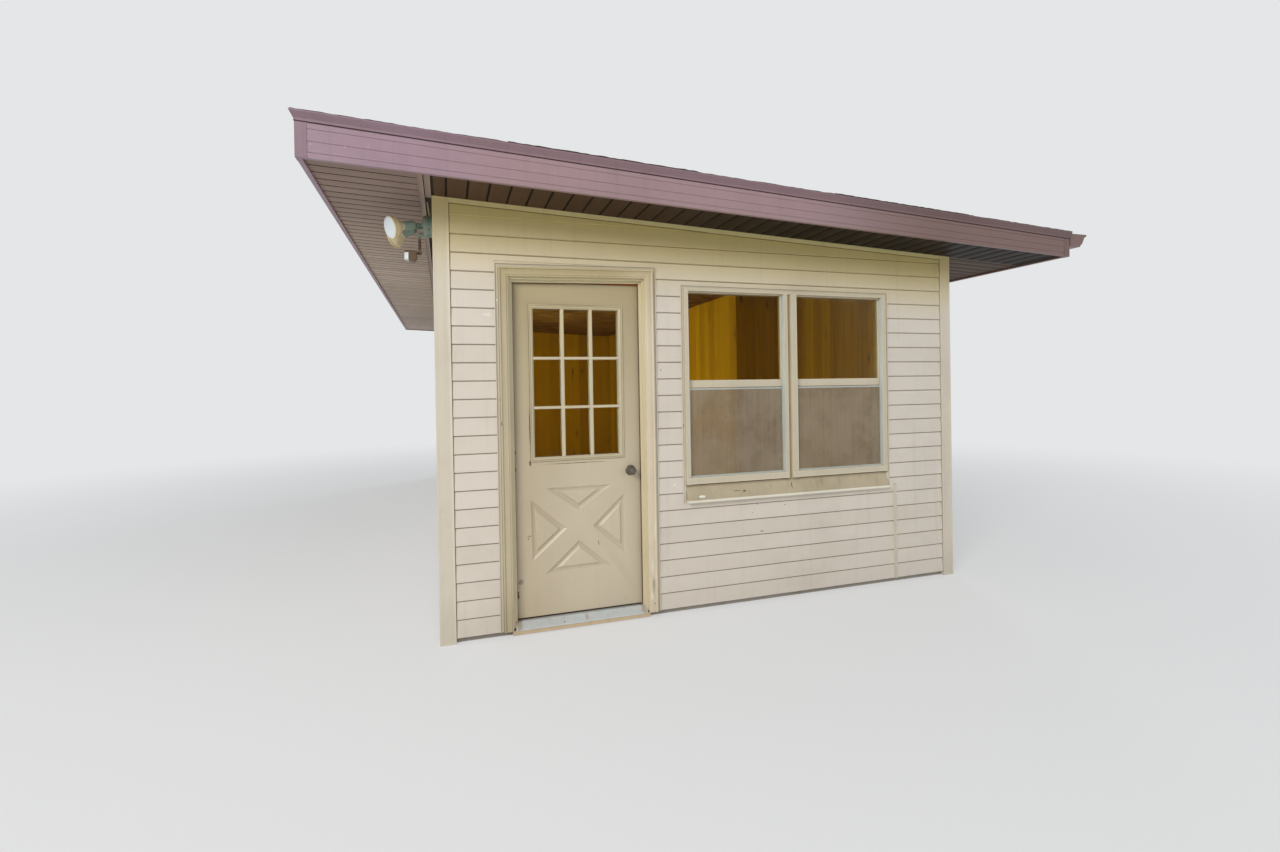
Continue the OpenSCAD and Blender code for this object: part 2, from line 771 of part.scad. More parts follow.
module door_leaf() {
    color("tan") from_corner() {
        difference() {
            block([leaf_l, leaf_setback, leaf_bottom], [leaf_r, leaf_in, leaf_top]);
            lite_hole(0, leaf_setback - 1, leaf_in + 1);
            translate([knob_x, leaf_setback - 1, knob_z]) rotate([-90, 0, 0])
                cylinder(h = leaf_t + 2, r = rose_r - 6);
        }
        for (t = buck_triangles(), face = [0, 1])
            translate([leaf_mid, 0, leaf_bottom + buck_up]) {
                y0 = face == 0 ? leaf_setback - buck_proud / 2 : leaf_in - 1;
                y1 = face == 0 ? leaf_setback - buck_proud : leaf_in - 1;
                prism_y(t, y0, y0 + buck_proud / 2 + 1);
                prism_y(inset_triangle(t, 18), y1, y1 + buck_proud + 1);
            }
    }
}

module door_lite_frame() {
    inner_w = lite_w - 2 * lite_border;
    inner_h = lite_h - 2 * lite_border;
    glass_y = leaf_setback + (leaf_t - door_glass_t) / 2;
    color("tan") from_corner() translate([leaf_mid, 0, leaf_bottom + lite_up + lite_h / 2])
        for (face = [0, 1]) {
            y0 = face == 0 ? leaf_setback - lite_proud : leaf_in;
            bar0 = face == 0 ? leaf_setback - lite_proud / 2 : glass_y + door_glass_t;
            bar1 = face == 0 ? glass_y : leaf_in + lite_proud / 2;
            difference() {
                block([-lite_w / 2, y0, -lite_h / 2], [lite_w / 2, y0 + lite_proud, lite_h / 2]);
                block([-inner_w / 2, y0 - 1, -inner_h / 2],
                    [inner_w / 2, y0 + lite_proud + 1, inner_h / 2]);
            }
            for (i = [1 : lite_count - 1]) {
                x = -inner_w / 2 + i * inner_w / lite_count;
                z = -inner_h / 2 + i * inner_h / lite_count;
                block([x - bar_w / 2, bar0, -inner_h / 2], [x + bar_w / 2, bar1, inner_h / 2]);
                block([-inner_w / 2, bar0, z - bar_w / 2], [inner_w / 2, bar1, z + bar_w / 2]);
            }
        }
}

module door_glass() {
    glass_y = leaf_setback + (leaf_t - door_glass_t) / 2;
    color("lightblue", 0.5) from_corner() lite_hole(0, glass_y, glass_y + door_glass_t);
}

// Turned shape about the knob's axis, drawn outwards from the leaf's face
module on_both_faces() {
    translate([knob_x, leaf_setback, knob_z]) rotate([90, 0, 0]) children();
    translate([knob_x, leaf_in, knob_z]) rotate([-90, 0, 0]) children();
}

module door_roses() {
    hole = neck_r + running;
    color("darkslategray") from_corner() on_both_faces()
        rotate_extrude() polygon([[hole, 0], [rose_r, 0], [rose_r, 3], [rose_r - 4, 7],
            [neck_r + 8, 10], [hole, 10]]);
}

module door_knob() {
    reach = 58;
    color("darkslategray") from_corner() {
        on_both_faces() rotate_extrude() polygon(concat([[0, 0], [neck_r, 0], [neck_r, 26]],
            [for (a = [-50 : 10 : 80]) [knob_r * cos(a) * 0.98 + 0.5, 40 + 16 * sin(a)]],
            [[0, reach]]));
        translate([knob_x, leaf_setback - 1, knob_z]) rotate([-90, 0, 0])
            cylinder(h = leaf_t + 2, r = neck_r - 2);
    }
}

// Hinges

function hinge_heights() = [leaf_bottom + 180, leaf_bottom + leaf_h / 2, leaf_top - 230];

// Knuckles of one half of a hinge: the frame has three and the leaf has two
module knuckles(first, inner_r) {
    knuckle = hinge_h / 5;
    for (i = [first : 2 : 4])
        translate([pin_x, pin_y, i * knuckle + 0.25]) difference() {
            cylinder(h = knuckle - 0.5, r = barrel_r);
            if (inner_r > 0) translate([0, 0, -1]) cylinder(h = knuckle + 2, r = inner_r);
        }
}

module hinge_tabs(first, x0) {
    knuckle = hinge_h / 5;
    for (i = [first : 2 : 4])
        block([x0, leaf_in - 1, i * knuckle + 0.25],
            [x0 + 1.8, pin_y - barrel_r + 1.5, (i + 1) * knuckle - 0.25]);
}

module frame_hinges() {
    color("darkgoldenrod") from_corner() for (z = hinge_heights()) translate([0, 0, z]) {
        block([jamb_l, leaf_in - 36, 0], [jamb_l + 1.8, leaf_in, hinge_h]);
        knuckles(0, 0);
        hinge_tabs(0, jamb_l);
        translate([pin_x, pin_y, 0]) cylinder(h = hinge_h, r = barrel_r / 2);
    }
}

module leaf_hinges() {
    color("darkgoldenrod") from_corner() for (z = hinge_heights()) translate([0, 0, z]) {
        block([leaf_l - 1.8, leaf_in - 36, 0], [leaf_l, leaf_in, hinge_h]);
        knuckles(1, barrel_r / 2 + running);
        hinge_tabs(1, leaf_l - 1.8);
    }
}

// Windows

module window_frames() {
    depth = wall_t - 14;
    color("wheat") from_corner() both_windows() {
        difference() {
            block([-half_w, -frame_proud, sill_z], [half_w, depth, window_top]);
            both_units() block([unit_in, -frame_proud - 1, sill_z - 1], [unit_out, depth + 1, head_z]);
        }
    }
}

// One sash: a ring of stiles and rails
module sash(z0, z1, y, low_rail, high_rail) {
    difference() {
        block([unit_in, y, z0], [unit_out, y + sash_t, z1]);
        block([unit_in + stile_w, y - 1, z0 + low_rail],
            [unit_out - stile_w, y + sash_t + 1, z1 - high_rail]);
    }
}

module window_sashes() {
    color("wheat") from_corner() both_windows() both_units() {
        sash(meeting_z, head_z, upper_y, rail_h, 12);
        sash(sill_z, meeting_z + rail_h, lower_y, rail_h - 3, rail_h);
    }
}

module window_glass() {
    color("lightblue", 0.5) from_corner() both_windows() both_units() {
        block([unit_in + stile_w, upper_y + 8, meeting_z + rail_h],
            [unit_out - stile_w, upper_y + 8 + pane_t, head_z - 12]);
        block([unit_in + stile_w, lower_y + 8, sill_z + rail_h - 3],
            [unit_out - stile_w, lower_y + 8 + pane_t, meeting_z]);
    }
}

// Insect screens over the lower sashes, each a frame with its mesh
module window_screens() {
    color("gray") from_corner() both_windows() both_units() {
        difference() {
            block([unit_in, screen_y, sill_z], [unit_out, screen_y + screen_t, meeting_z + 6]);
            block([unit_in + screen_bar, screen_y - 1, sill_z + screen_bar],
                [unit_out - screen_bar, screen_y + screen_t + 1, meeting_z + 6 - screen_bar]);
        }
        block([unit_in + screen_bar - 1, screen_y + 3, sill_z + screen_bar - 1],
            [unit_out - screen_bar + 1, screen_y + 4, meeting_z + 7 - screen_bar]);
    }
}

module window_sills() {
    color("wheat") from_corner() both_windows()
        prism_x([[wall_t - 14, sill_z - sill_drop], [wall_t - 14, sill_z], [10, sill_z],
            [-30, sill_z - 29], [-30, sill_z - 51], [-44, sill_z - 58], [-44, sill_low],
            [0, sill_low], [0, sill_z - sill_drop]], -half_w, half_w);
}

// Floodlight

// Places a shape drawn along +X from the lake wall, outwards over the water
module out_from_wall(y, z) {
    translate([0, y, z]) rotate([0, -90, 0]) children();
}

// Half of a knuckle on a pin along Y, with its tab along X, on the side that side names
module half_knuckle(side, reach) {
    y0 = side < 0 ? -knuckle_w : running / 2;
    y1 = side < 0 ? -running / 2 : knuckle_w;
    block([min(0, reach), y0, -knuckle_r + 3], [max(0, reach), y1, knuckle_r - 3]);
    translate([0, y1, 0]) rotate([90, 0, 0]) cylinder(h = y1 - y0, r = knuckle_r);
    translate([0, side < 0 ? y0 : y1 + 3, 0]) rotate([90, 0, 0]) cylinder(h = 3, r = 5);
}

// Arm from the lid to a lamp's pin
module lamp_arm(pivot, turn) {
    out_from_wall(pivot[1], pivot[2]) translate([0, 0, light_box_t - 1]) {
        cylinder(h = 6, r = 15);
        cylinder(h = pivot_out - light_box_t + 1 - 17, r = 9);
    }
    translate(pivot) rotate([0, 0, turn]) half_knuckle(-sign(turn), 22);
}

module light_bracket() {
    color("darkseagreen") from_corner() {
        out_from_wall(light_y, light_z) rotate_extrude()
            polygon([[0, 0], [light_body_r, 0], [light_body_r, light_box_t - light_lid_t],
                [light_lid_r, light_box_t - light_lid_t], [light_lid_r, light_box_t - 8],
                [light_lid_r - 4, light_box_t], [0, light_box_t]]);
        lamp_arm(front_pivot, front_turn);
        lamp_arm(rear_pivot, -rear_turn);
        out_from_wall(light_y, arm_z) translate([0, 0, light_box_t - 1]) {
            cylinder(h = 5, r = arm_r + 2.5);
            cylinder(h = sensor_out - light_box_t + 1, r = arm_r);
        }
        translate([-sensor_out, light_y, arm_z]) sphere(r = arm_r + 2);
        translate(sensor_pivot) cylinder(h = arm_z - sensor_pivot[2], r = arm_r);
    }
}

// Cable that hangs out of the gap in the soffit and leans in to the box
module light_cable() {
    box_top = light_z + light_body_r;
    deck_low = line_z(cable_top_x) + soffit_top;
    dip = cable_r * (cable_foot_x - cable_top_x) / (deck_low - box_top);
    foot_z = box_top + dip + running;
    lean = [cable_top_x - cable_foot_x, deck_low - dip - foot_z];
    color("khaki") from_corner() translate([cable_foot_x, light_y, foot_z])
        rotate([0, atan(lean[0] / lean[1]), 0]) cylinder(h = norm(lean), r = cable_r);
}

// Lamp holder with its sealed-beam lamp, tilted about its pin
module lamp(pivot, turn, tilt) {
    translate(pivot) rotate([0, 0, turn]) rotate([0, -tilt, 0]) {
        half_knuckle(sign(turn), -20);
        rotate([0, -90, 0]) rotate_extrude()
            polygon([[0, 17], [13, 17], [16, 20], [holder_r - 3, 24], [holder_r, 30],
                [holder_r, 90], [holder_r - 3, 94], [holder_r - 2, 101], [lamp_r * 0.56, 114],
                [lamp_r * 0.76, 130], [lamp_r * 0.92, 147], [lamp_r, 162], [lamp_r, 170],
                [lamp_r - 4, 175], [lamp_r * 0.6, 180], [0, 183]]);
    }
}

module front_lamp() {
    color("gainsboro") from_corner() lamp(front_pivot, front_turn, front_tilt);
}

module rear_lamp() {
    color("gainsboro") from_corner() lamp(rear_pivot, -rear_turn, rear_tilt);
}

// Sensor beside its arm's lower end, with its lens facing out over the water
module motion_sensor() {
    half = sensor_w / 2;
    near = arm_r + 7;
    back = near + 47;
    color("sienna") from_corner() translate(sensor_pivot) {
        translate([0, 0, -running - 18]) cylinder(h = 18, r = arm_r + 2);
        block([-near - 1, -6, -16], [0, 6, -4]);
        prism_y([[-near, 2], [-near, -38], [-near - 13, -60], [-back, -66], [-back, 2]], -half, half);
        intersection() {
            translate([-back, 0, -56]) cylinder(h = 48, r = half - 4);
            block([-2 * back, -half, -60], [-back + 1, half, 0]);
        }
        block([-back - 20, -half, -4], [-back + 1, half, 2]);
    }
}

floor_slab();
front_wall_left();
front_wall_over_door();
front_wall_pier();
front_wall_over_window();
front_wall_under_window();
front_wall_right();
lake_wall_front();
lake_wall_over_window();
lake_wall_under_window();
lake_wall_back();
hill_wall();
back_wall();
store_wall();
corner_posts();
roof_deck();
roofing();
roof_edge();
rake_fascias();
eave_fascias();
rake_soffits();
eave_soffits();
soffit_channels();
frieze();
gutter();
door_frame();
door_casing();
door_sill();
door_threshold();
trim_channels();
door_leaf();
door_lite_frame();
door_glass();
door_roses();
door_knob();
frame_hinges();
leaf_hinges();
window_frames();
window_sashes();
window_glass();
window_screens();
window_sills();
light_bracket();
light_cable();
front_lamp();
rear_lamp();
motion_sensor();
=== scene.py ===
"""Lakeside boathouse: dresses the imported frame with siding, boards, soffits, roofing and finishes.

Sizes are in metres. place() measures from the front lake-side corner of the siding, at the ground:
x runs right along the front wall and y runs back along the lake wall.
"""
import math

import bmesh
import bpy
from mathutils import Matrix, Vector


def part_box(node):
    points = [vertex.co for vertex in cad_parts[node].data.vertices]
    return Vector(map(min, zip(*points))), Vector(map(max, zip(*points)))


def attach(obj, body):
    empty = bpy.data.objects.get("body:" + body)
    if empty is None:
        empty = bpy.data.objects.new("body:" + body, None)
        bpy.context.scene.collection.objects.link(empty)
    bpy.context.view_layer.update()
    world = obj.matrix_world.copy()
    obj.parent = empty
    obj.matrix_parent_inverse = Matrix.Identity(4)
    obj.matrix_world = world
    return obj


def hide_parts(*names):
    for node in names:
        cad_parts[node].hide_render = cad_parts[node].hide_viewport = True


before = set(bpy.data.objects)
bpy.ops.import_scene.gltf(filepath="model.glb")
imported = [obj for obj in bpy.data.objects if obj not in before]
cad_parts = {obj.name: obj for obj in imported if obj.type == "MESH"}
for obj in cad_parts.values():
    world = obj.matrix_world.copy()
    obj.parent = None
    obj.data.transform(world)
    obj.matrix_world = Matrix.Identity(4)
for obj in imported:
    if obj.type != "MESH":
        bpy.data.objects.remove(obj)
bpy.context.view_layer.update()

rest = {name: [Vector(c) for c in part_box(name)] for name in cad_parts}
corner = Vector((rest["front_wall_left"][0].x, rest["front_wall_left"][0].y, 0))

# ------ sizes

WIDTH, DEPTH, WALL, FLOOR = 3.66, 7.32, 0.12, 0.04
COURSE, FIRST_BUTT, LAST_BUTT = 0.1052, 0.0296, 2.344
BUTT_OUT, BOARD_OUT = 0.0085, 0.0015
LAKE_EAVE, HILL_EAVE, GABLE = 0.61, 0.74, 0.39
FASCIA_T, SOFFIT_UP, SOFFIT_T = 0.025, 0.012, 0.012
BAND, EDGE_H, EDGE_T = 0.08, 0.031, 0.003
FELT_OUT, HILL_LIP, PACKER = 0.015, 0.008, 0.028
STORE_X, STORE_Y = 2.96, 2.07
DOORWAY, REVEAL, CASING = (0.4125, 1.2275), 0.012, 0.055
WINDOW, LAKE_WINDOW = (1.507, 3.073), (2.877, 4.443)
WINDOW_FOOT, WINDOW_HEAD = 0.722, 2.081
FRIEZE = 0.0265
ROOF = (-LAKE_EAVE, WIDTH + HILL_EAVE)
ENDS = (-GABLE, DEPTH + GABLE)
IN_ENDS = (ENDS[0] + FASCIA_T, ENDS[1] - FASCIA_T)
# The fascia's lower and upper edges: height over the corner, and fall for each metre along the front
SOFFIT_LINE, CAP_LINE = (2.536, 0.041), (2.714, 0.049)
# Heights past every roof piece, before it is trimmed
BELOW_ROOF, ABOVE_ROOF = 2.2, 3.0
# How nearly a normal or an edge has to point one way, and how close a place has to be, to count as there
ALIGNED, CLOSE = 0.9, 0.001


def place(x, y, z):
    """Carries a place on the building to the frame."""
    return Vector((x + corner.x, y + corner.y, z))


def height(line, x):
    """Height of one of the roof's lines above a place along the front."""
    return line[0] - line[1] * x


# ------ modelling by hand

def choose(*pieces):
    """Selects these pieces alone, with the first one active."""
    bpy.ops.object.select_all(action="DESELECT")
    for piece in pieces:
        piece.select_set(True)
    if pieces:
        bpy.context.view_layer.objects.active = pieces[0]


def settle():
    bpy.ops.object.transform_apply(location=True, rotation=True, scale=True)


def named(name):
    """Names what was just made."""
    piece = bpy.context.object
    piece.name = piece.data.name = name
    return piece


def block(name, low, high):
    """Adds a block between two corners."""
    choose()
    a, b = place(*low), place(*high)
    bpy.ops.mesh.primitive_cube_add(size=1, location=(a + b) / 2, scale=b - a)
    settle()
    return named(name)


def edit(piece):
    """Opens one piece for editing."""
    choose(piece)
    bpy.ops.object.mode_set(mode="EDIT")


def done():
    bpy.ops.object.mode_set(mode="OBJECT")


def pick(piece, kind, test):
    """Selects the vertices, edges or faces whose middle and normal, or an edge's run, pass a test, in edit mode."""
    bpy.ops.mesh.select_mode(type=kind)
    mesh = bmesh.from_edit_mesh(piece.data)
    mesh.normal_update()
    for part in (*mesh.faces, *mesh.edges, *mesh.verts):
        part.select_set(False)
    if kind == "VERT":
        found = [(v, v.co, v.normal) for v in mesh.verts]
    elif kind == "EDGE":
        found = [(e, (e.verts[0].co + e.verts[1].co) / 2, (e.verts[1].co - e.verts[0].co).normalized())
                 for e in mesh.edges]
    else:
        found = [(f, f.calc_center_median(), f.normal) for f in mesh.faces]
    for part, middle, way in found:
        if test(middle - corner, way):
            part.select_set(True)
    mesh.select_flush_mode()
    bmesh.update_edit_mesh(piece.data)


def pick_all():
    bpy.ops.mesh.select_all(action="SELECT")


def push(offset):
    bpy.ops.transform.translate(value=offset)


def move(x=0.0, y=0.0, z=0.0):
    push((x, y, z))


def inset(width, each=False):
    bpy.ops.mesh.inset(thickness=width, use_even_offset=True, use_individual=each)


def extrude(offset):
    bpy.ops.mesh.extrude_region_move(TRANSFORM_OT_translate={"value": offset})


def face_out():
    pick_all()
    bpy.ops.mesh.normals_make_consistent(inside=False)


def cut(piece, at, normal):
    """Cuts off what lies on the side that the normal points to, and closes the cut."""
    edit(piece)
    pick_all()
    bpy.ops.mesh.bisect(plane_co=place(*at), plane_no=normal, use_fill=True, clear_outer=True)
    done()


def trim(piece, line, up, side=1):
    """Cuts off what lies over one of the roof's lines, raised by a height, or under it if side is -1."""
    cut(piece, (0, 0, line[0] + up), (side * line[1], 0, side))


def copy(piece, name, x=0.0, y=0.0, z=0.0, turn=0.0):
    """Copies a piece with its own mesh, and turns and moves the copy."""
    choose(piece)
    bpy.ops.object.duplicate(linked=False)
    new = named(name)
    new.rotation_euler = (0, 0, turn)
    new.location = (x, y, z)
    settle()
    return new


def on_lake_side(piece, name):
    """Copies a piece of the front window to the lake window, turned to that wall."""
    turn = math.radians(-90)
    from_middle = Matrix.Rotation(turn, 3, "Z") @ place(sum(WINDOW) / 2, 0, 0)
    return copy(piece, name, *(place(0, sum(LAKE_WINDOW) / 2, 0) - from_middle), turn)


def join(pieces, name=None):
    """Joins pieces into one mesh, which keeps the first one's name if none is given."""
    name = name or pieces[0].name
    choose(*pieces)
    if len(pieces) > 1:
        bpy.ops.object.join()
    return named(name)


def add_modifier(piece, kind, **settings):
    """Adds a modifier with its settings and applies it."""
    choose(piece)
    bpy.ops.object.modifier_add(type=kind)
    mod = piece.modifiers[-1]
    for key, value in settings.items():
        setattr(mod, key, value)
    bpy.ops.object.modifier_apply(modifier=mod.name)


def repeat(piece, count, step):
    add_modifier(piece, "ARRAY", count=count, use_relative_offset=False, use_constant_offset=True,
                 constant_offset_displace=step)


def round_edges(piece, width, segments=2, angle=40):
    add_modifier(piece, "BEVEL", width=width, segments=segments, limit_method="ANGLE",
                 angle_limit=math.radians(angle), harden_normals=False)


def carve(piece, cutter):
    """Cuts one shape out of another and takes the cutter away."""
    add_modifier(piece, "BOOLEAN", object=cutter, operation="DIFFERENCE", solver="EXACT")
    bpy.data.objects.remove(cutter)


def smooth(piece, angle=30):
    choose(piece)
    bpy.ops.object.shade_smooth_by_angle(angle=math.radians(angle))


def bar(name, low, high, rounding=0.002, step=None, facing=(0, -1, 0)):
    """A bar with rounded edges and, if asked, a shallow step pressed into its face."""
    piece = block(name, low, high)
    if step:
        out = Vector(facing)
        edit(piece)
        pick(piece, "FACE", lambda at, n: n.dot(out) > ALIGNED)
        inset(step[0])
        push(-out * step[1])
        done()
    round_edges(piece, rounding)
    return piece


def surround(name, low, high, steps, rise=0.0, foot=None):
    """A mitred moulding round an opening in the front wall: each step goes in from the edge and back from the face."""
    piece = block(name, low, high)
    middle = (Vector(low) + Vector(high)) / 2
    edit(piece)
    pick(piece, "FACE", lambda at, n: n.y < -ALIGNED)
    for width, back in steps:
        inset(width)
        move(y=back)
    pick(piece, "FACE", lambda at, n: n.y > ALIGNED)
    inset(sum(width for width, back in steps))
    pick(piece, "FACE", lambda at, n: abs(n.y) > ALIGNED and (at - middle).xz.length < CLOSE / 2)
    bpy.ops.mesh.bridge_edge_loops()
    face_out()
    if rise:
        pick(piece, "VERT", lambda at, n: at.x > middle.x and at.z > middle.z)
        move(z=rise)
    done()
    if foot is not None:
        cut(piece, (0, 0, foot), (0, 0, -1))
    return piece


def lathe(name, profile, at, axis, sides=40):
    """A turned shape: rings of a given radius at given distances along an axis."""
    choose()
    bpy.ops.mesh.primitive_circle_add(vertices=sides, radius=profile[0][1], fill_type="NGON", location=(0, 0, 0))
    piece = named(name)
    edit(piece)
    pick_all()
    move(z=profile[0][0])
    for (before, narrow), (along, radius) in zip(profile, profile[1:]):
        extrude((0, 0, along - before))
        bpy.ops.transform.resize(value=(radius / narrow, radius / narrow, 1), center_override=(0, 0, along))
    face_out()
    done()
    piece.rotation_euler = Vector(axis).to_track_quat("Z", "Y").to_euler()
    piece.location = place(*at)
    settle()
    smooth(piece, 40)
    return piece


def gather_dirt_and_shade(piece):
    """Writes how hollow the surface is at each vertex, so that dirt and painted shade can gather there."""
    mesh = bmesh.new()
    mesh.from_mesh(piece.data)
    mesh.normal_update()
    hollow = [max(0.0, min(1.0, 3 * sum(v.normal.dot((e.other_vert(v).co - v.co).normalized()) for e in v.link_edges)
                           / max(1, len(v.link_edges)))) for v in mesh.verts]
    mesh.free()
    piece.data.attributes.new("hollow", "FLOAT", "POINT").data.foreach_set("value", hollow)
    return piece


def finish(piece, slot, coat, *nodes, body="building"):
    """Gives a piece its body, its finish and the nodes it stands for; its slot is not used."""
    piece.data.materials.clear()
    piece.data.materials.append(coats[coat])
    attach(piece, body)
    if nodes:
        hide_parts(*nodes)


# ------ finishes

coats = {}


def tone(rgb):
    """A colour as read off a screen, made linear."""
    return tuple(((c / 255 + 0.055) / 1.055) ** 2.4 if c > 10 else c / 3295 for c in rgb.to_bytes(3, "big")) + (1.0,)


class Value:
    """An output to reckon with: each sum, difference, product or share adds a node to its tree."""

    def __init__(self, socket):
        self.socket, self.tree = socket, socket.id_data

    def __add__(self, other):
        return maths("ADD", self, other)

    def __sub__(self, other):
        return maths("SUBTRACT", self, other)

    def __mul__(self, other):
        return maths("MULTIPLY", self, other)

    def __truediv__(self, other):
        return maths("DIVIDE", self, other)


def feed(sockets, values):
    """Links values to sockets, or sets the sockets where the values are constants."""
    for key, value in values.items():
        socket = sockets[key.replace("_", " ") if isinstance(key, str) else key]
        if isinstance(value, Value):
            socket.id_data.links.new(value.socket, socket)
        else:
            socket.default_value = value


def node(tree, kind, inputs, output=0, **settings):
    """Adds a node, feeds it and gives one of its outputs."""
    made = tree.nodes.new("ShaderNode" + kind)
    for key, value in settings.items():
        setattr(made, key, value)
    feed(made.inputs, inputs)
    return Value(made.outputs[output])


def tree_of(*values):
    return next(v.tree for v in values if isinstance(v, Value))


def maths(operation, a, b=0.0, c=0.0, clamp=False):
    return node(tree_of(a, b, c), "Math", {0: a, 1: b, 2: c}, operation=operation, use_clamp=clamp)


def mix(factor, a, b):
    return node(tree_of(factor, a, b), "Mix", {0: factor, 6: a, 7: b}, 2, data_type="RGBA")


def between(value, low, high, start=0.0, end=1.0):
    return node(value.tree, "MapRange", {0: value, 1: low, 2: high, 3: start, 4: end}, interpolation_type="SMOOTHSTEP")


def vectors(operation, a, b=(0, 0, 0), output=0):
    return node(a.tree, "VectorMath", {0: a, 1: b}, output, operation=operation)


def noise(vector, scale, detail, roughness, stretch=None):
    """Noise at a scale, or at a scale of its own along each axis."""
    if stretch:
        vector = vectors("MULTIPLY", vector, stretch)
    return node(vector.tree, "TexNoise", {"Vector": vector, "Scale": scale, "Detail": detail,
                                          "Roughness": roughness}, "Fac")


def chance(x, y=0.0):
    """A value between 0 and 1 drawn for each pair of numbers."""
    vector = node(x.tree, "CombineXYZ", {0: x, 1: y, 2: 0.0})
    return node(x.tree, "TexWhiteNoise", {"Vector": vector}, "Value", noise_dimensions="3D")


def axes(vector):
    return [Value(out) for out in node(vector.tree, "SeparateXYZ", {0: vector}).socket.node.outputs]


def under_eave(vector):
    """How far a place lies below the line of the fascia's lower edge."""
    x, y, z = axes(vector)
    return maths("MULTIPLY_ADD", x, -SOFFIT_LINE[1], height(SOFFIT_LINE, -corner.x)) - z


COLOURS = ("Colour", "Grime", "Dust", "Light", "Dark", "Knot")


def effect(name, inputs, outputs):
    """Starts a shared effect, a node group: gives it, its inputs and a way to feed its outputs."""
    group = bpy.data.node_groups.new(name, "ShaderNodeTree")
    for labels, way in ((inputs, "INPUT"), (outputs, "OUTPUT")):
        for label in labels.split():
            kind = "Vector" if label == "Place" else "Color" if label in COLOURS else "Float"
            group.interface.new_socket(label, in_out=way, socket_type="NodeSocket" + kind)
    given = {out.name: Value(out) for out in group.nodes.new("NodeGroupInput").outputs if out.name}
    sockets = group.nodes.new("NodeGroupOutput").inputs
    return group, given, lambda **values: feed(sockets, values)


def use(group, **inputs):
    """Puts a shared effect to use and gives its outputs."""
    made = inputs["Place"].tree.nodes.new("ShaderNodeGroup")
    made.node_tree = group
    feed(made.inputs, inputs)
    return {out.name: Value(out) for out in made.outputs}


def finish_called(name, **plain):
    """Starts a material: gives a way to feed its shader, and the place on the piece."""
    coats[name] = bpy.data.materials.new(name)
    coats[name].use_nodes = True
    tree = coats[name].node_tree
    sockets = tree.nodes["Principled BSDF"].inputs
    feed(sockets, plain)
    return lambda **values: feed(sockets, values), node(tree, "TexCoord", {}, "Object")


def show(share, before, after):
    """Blends a material's look from one shader to another, by a share."""
    both = node(share.tree, "MixShader", {0: share, 1: before, 2: after})
    feed(share.tree.nodes["Material Output"].inputs, {"Surface": both})


def own_look(tree):
    return Value(tree.nodes["Principled BSDF"].outputs[0])


def bump(surface, depth, strength=1.0):
    return node(surface.tree, "Bump", {"Height": surface, "Distance": depth, "Strength": strength})


# Weathering and shade: blotches, rain streaks, specks, splashed dirt at the foot, dust and painted shade under the
# eaves, and dirt and painted shade in hollows
age_and_shade, given, put = effect("age_and_shade", "Place Colour Grime Amount Foot Eave Dust Hollow Reach", "Colour Mask Height")
spot = given["Place"]
blotches = between(noise(spot, 2.1, 6, 0.62), 0.42, 0.72)
streaks = between(noise(spot, 1.0, 5, 0.6, (26, 26, 0.9)), 0.5, 0.78)
specks = between(noise(spot, 150, 2, 0.5), 0.7, 0.76)
splashed = between(axes(spot)[2] + noise(spot, 9, 4, 0.6) * 0.16, 0.42, 0.08) * given["Foot"]
# Under the eaves the colour goes towards the given tone: painted shade, with some dust
eave_dust_and_shade = between(under_eave(spot), given["Reach"], -0.03) * given["Eave"]
dirt = maths("MULTIPLY", blotches * 0.35 + streaks * 0.3 + specks * 0.35, given["Amount"], clamp=True)
dusted_and_shaded = mix(eave_dust_and_shade, given["Colour"], given["Dust"])
soiled = mix(maths("ADD", dirt, splashed, clamp=True), dusted_and_shaded, given["Grime"])
# Hollows go towards a dark brown: dirt, with painted shade in corners and creases
crusted_and_shaded = mix(given["Hollow"], soiled, mix(0.4, given["Grime"], tone(0x3C2C16)))
put(Colour=crusted_and_shaded, Mask=dirt, Height=noise(spot, 420, 3, 0.6) * 0.3 + blotches * 0.7)

# Courses: a tone of its own for each board, and a mask for the painted shade line under each butt
courses, given, put = effect("courses", "Place Pitch First", "Tone Crevice")
rows = (axes(given["Place"])[2] - given["First"]) / given["Pitch"]
row = maths("FLOOR", rows)
put(Tone=chance(row), Crevice=between(rows - row, 0.925, 0.985))

# Pine: long grain up the boards, a tone of its own for each board, and knots
pine, given, put = effect("pine", "Place Board Light Dark Knot", "Colour Height")
x, y, z = axes(given["Place"])
own = chance(maths("FLOOR", x / given["Board"]), maths("FLOOR", y / given["Board"]))
shifted = vectors("ADD", given["Place"], node(pine, "CombineXYZ", {2: own * 7.0}))
grain = noise(shifted, 1.0, 6, 0.6, (55, 55, 2.2))
bands = noise(shifted, 1.0, 2, 0.5, (9, 9, 0.6))
knots = node(pine, "TexVoronoi", {"Vector": vectors("MULTIPLY", shifted, (6.2, 6.2, 2.0)), "Scale": 1.0,
                                  "Randomness": 0.9}, "Distance", feature="F1")
knot = between(knots, 0.12, 0.07)
wood = mix(between(grain * 0.55 + bands * 0.3 + own * 0.3, 0.38, 0.78), given["Light"], given["Dark"])
wood = mix(between(knots, 0.26, 0.12) * 0.45, wood, given["Dark"])
put(Colour=mix(knot, wood, given["Knot"]), Height=grain - knot * 0.5)


def marked(shown, spot, marks):
    """Adds chips, scrapes, stains, painted shade lines and a painted highlight, each ragged round its place on the
    building.
    """
    for mark_colour, size, at, squeeze in marks:
        gap = vectors("SUBTRACT", spot, place(*at))
        far = vectors("LENGTH", vectors("MULTIPLY", gap, squeeze), output="Value")
        ragged = maths("MULTIPLY_ADD", noise(spot, 0.9 / size, 4, 0.7), size * 1.6, far)
        shown = mix(between(ragged, size * 1.75, size * 1.25), shown, tone(mark_colour))
    return shown


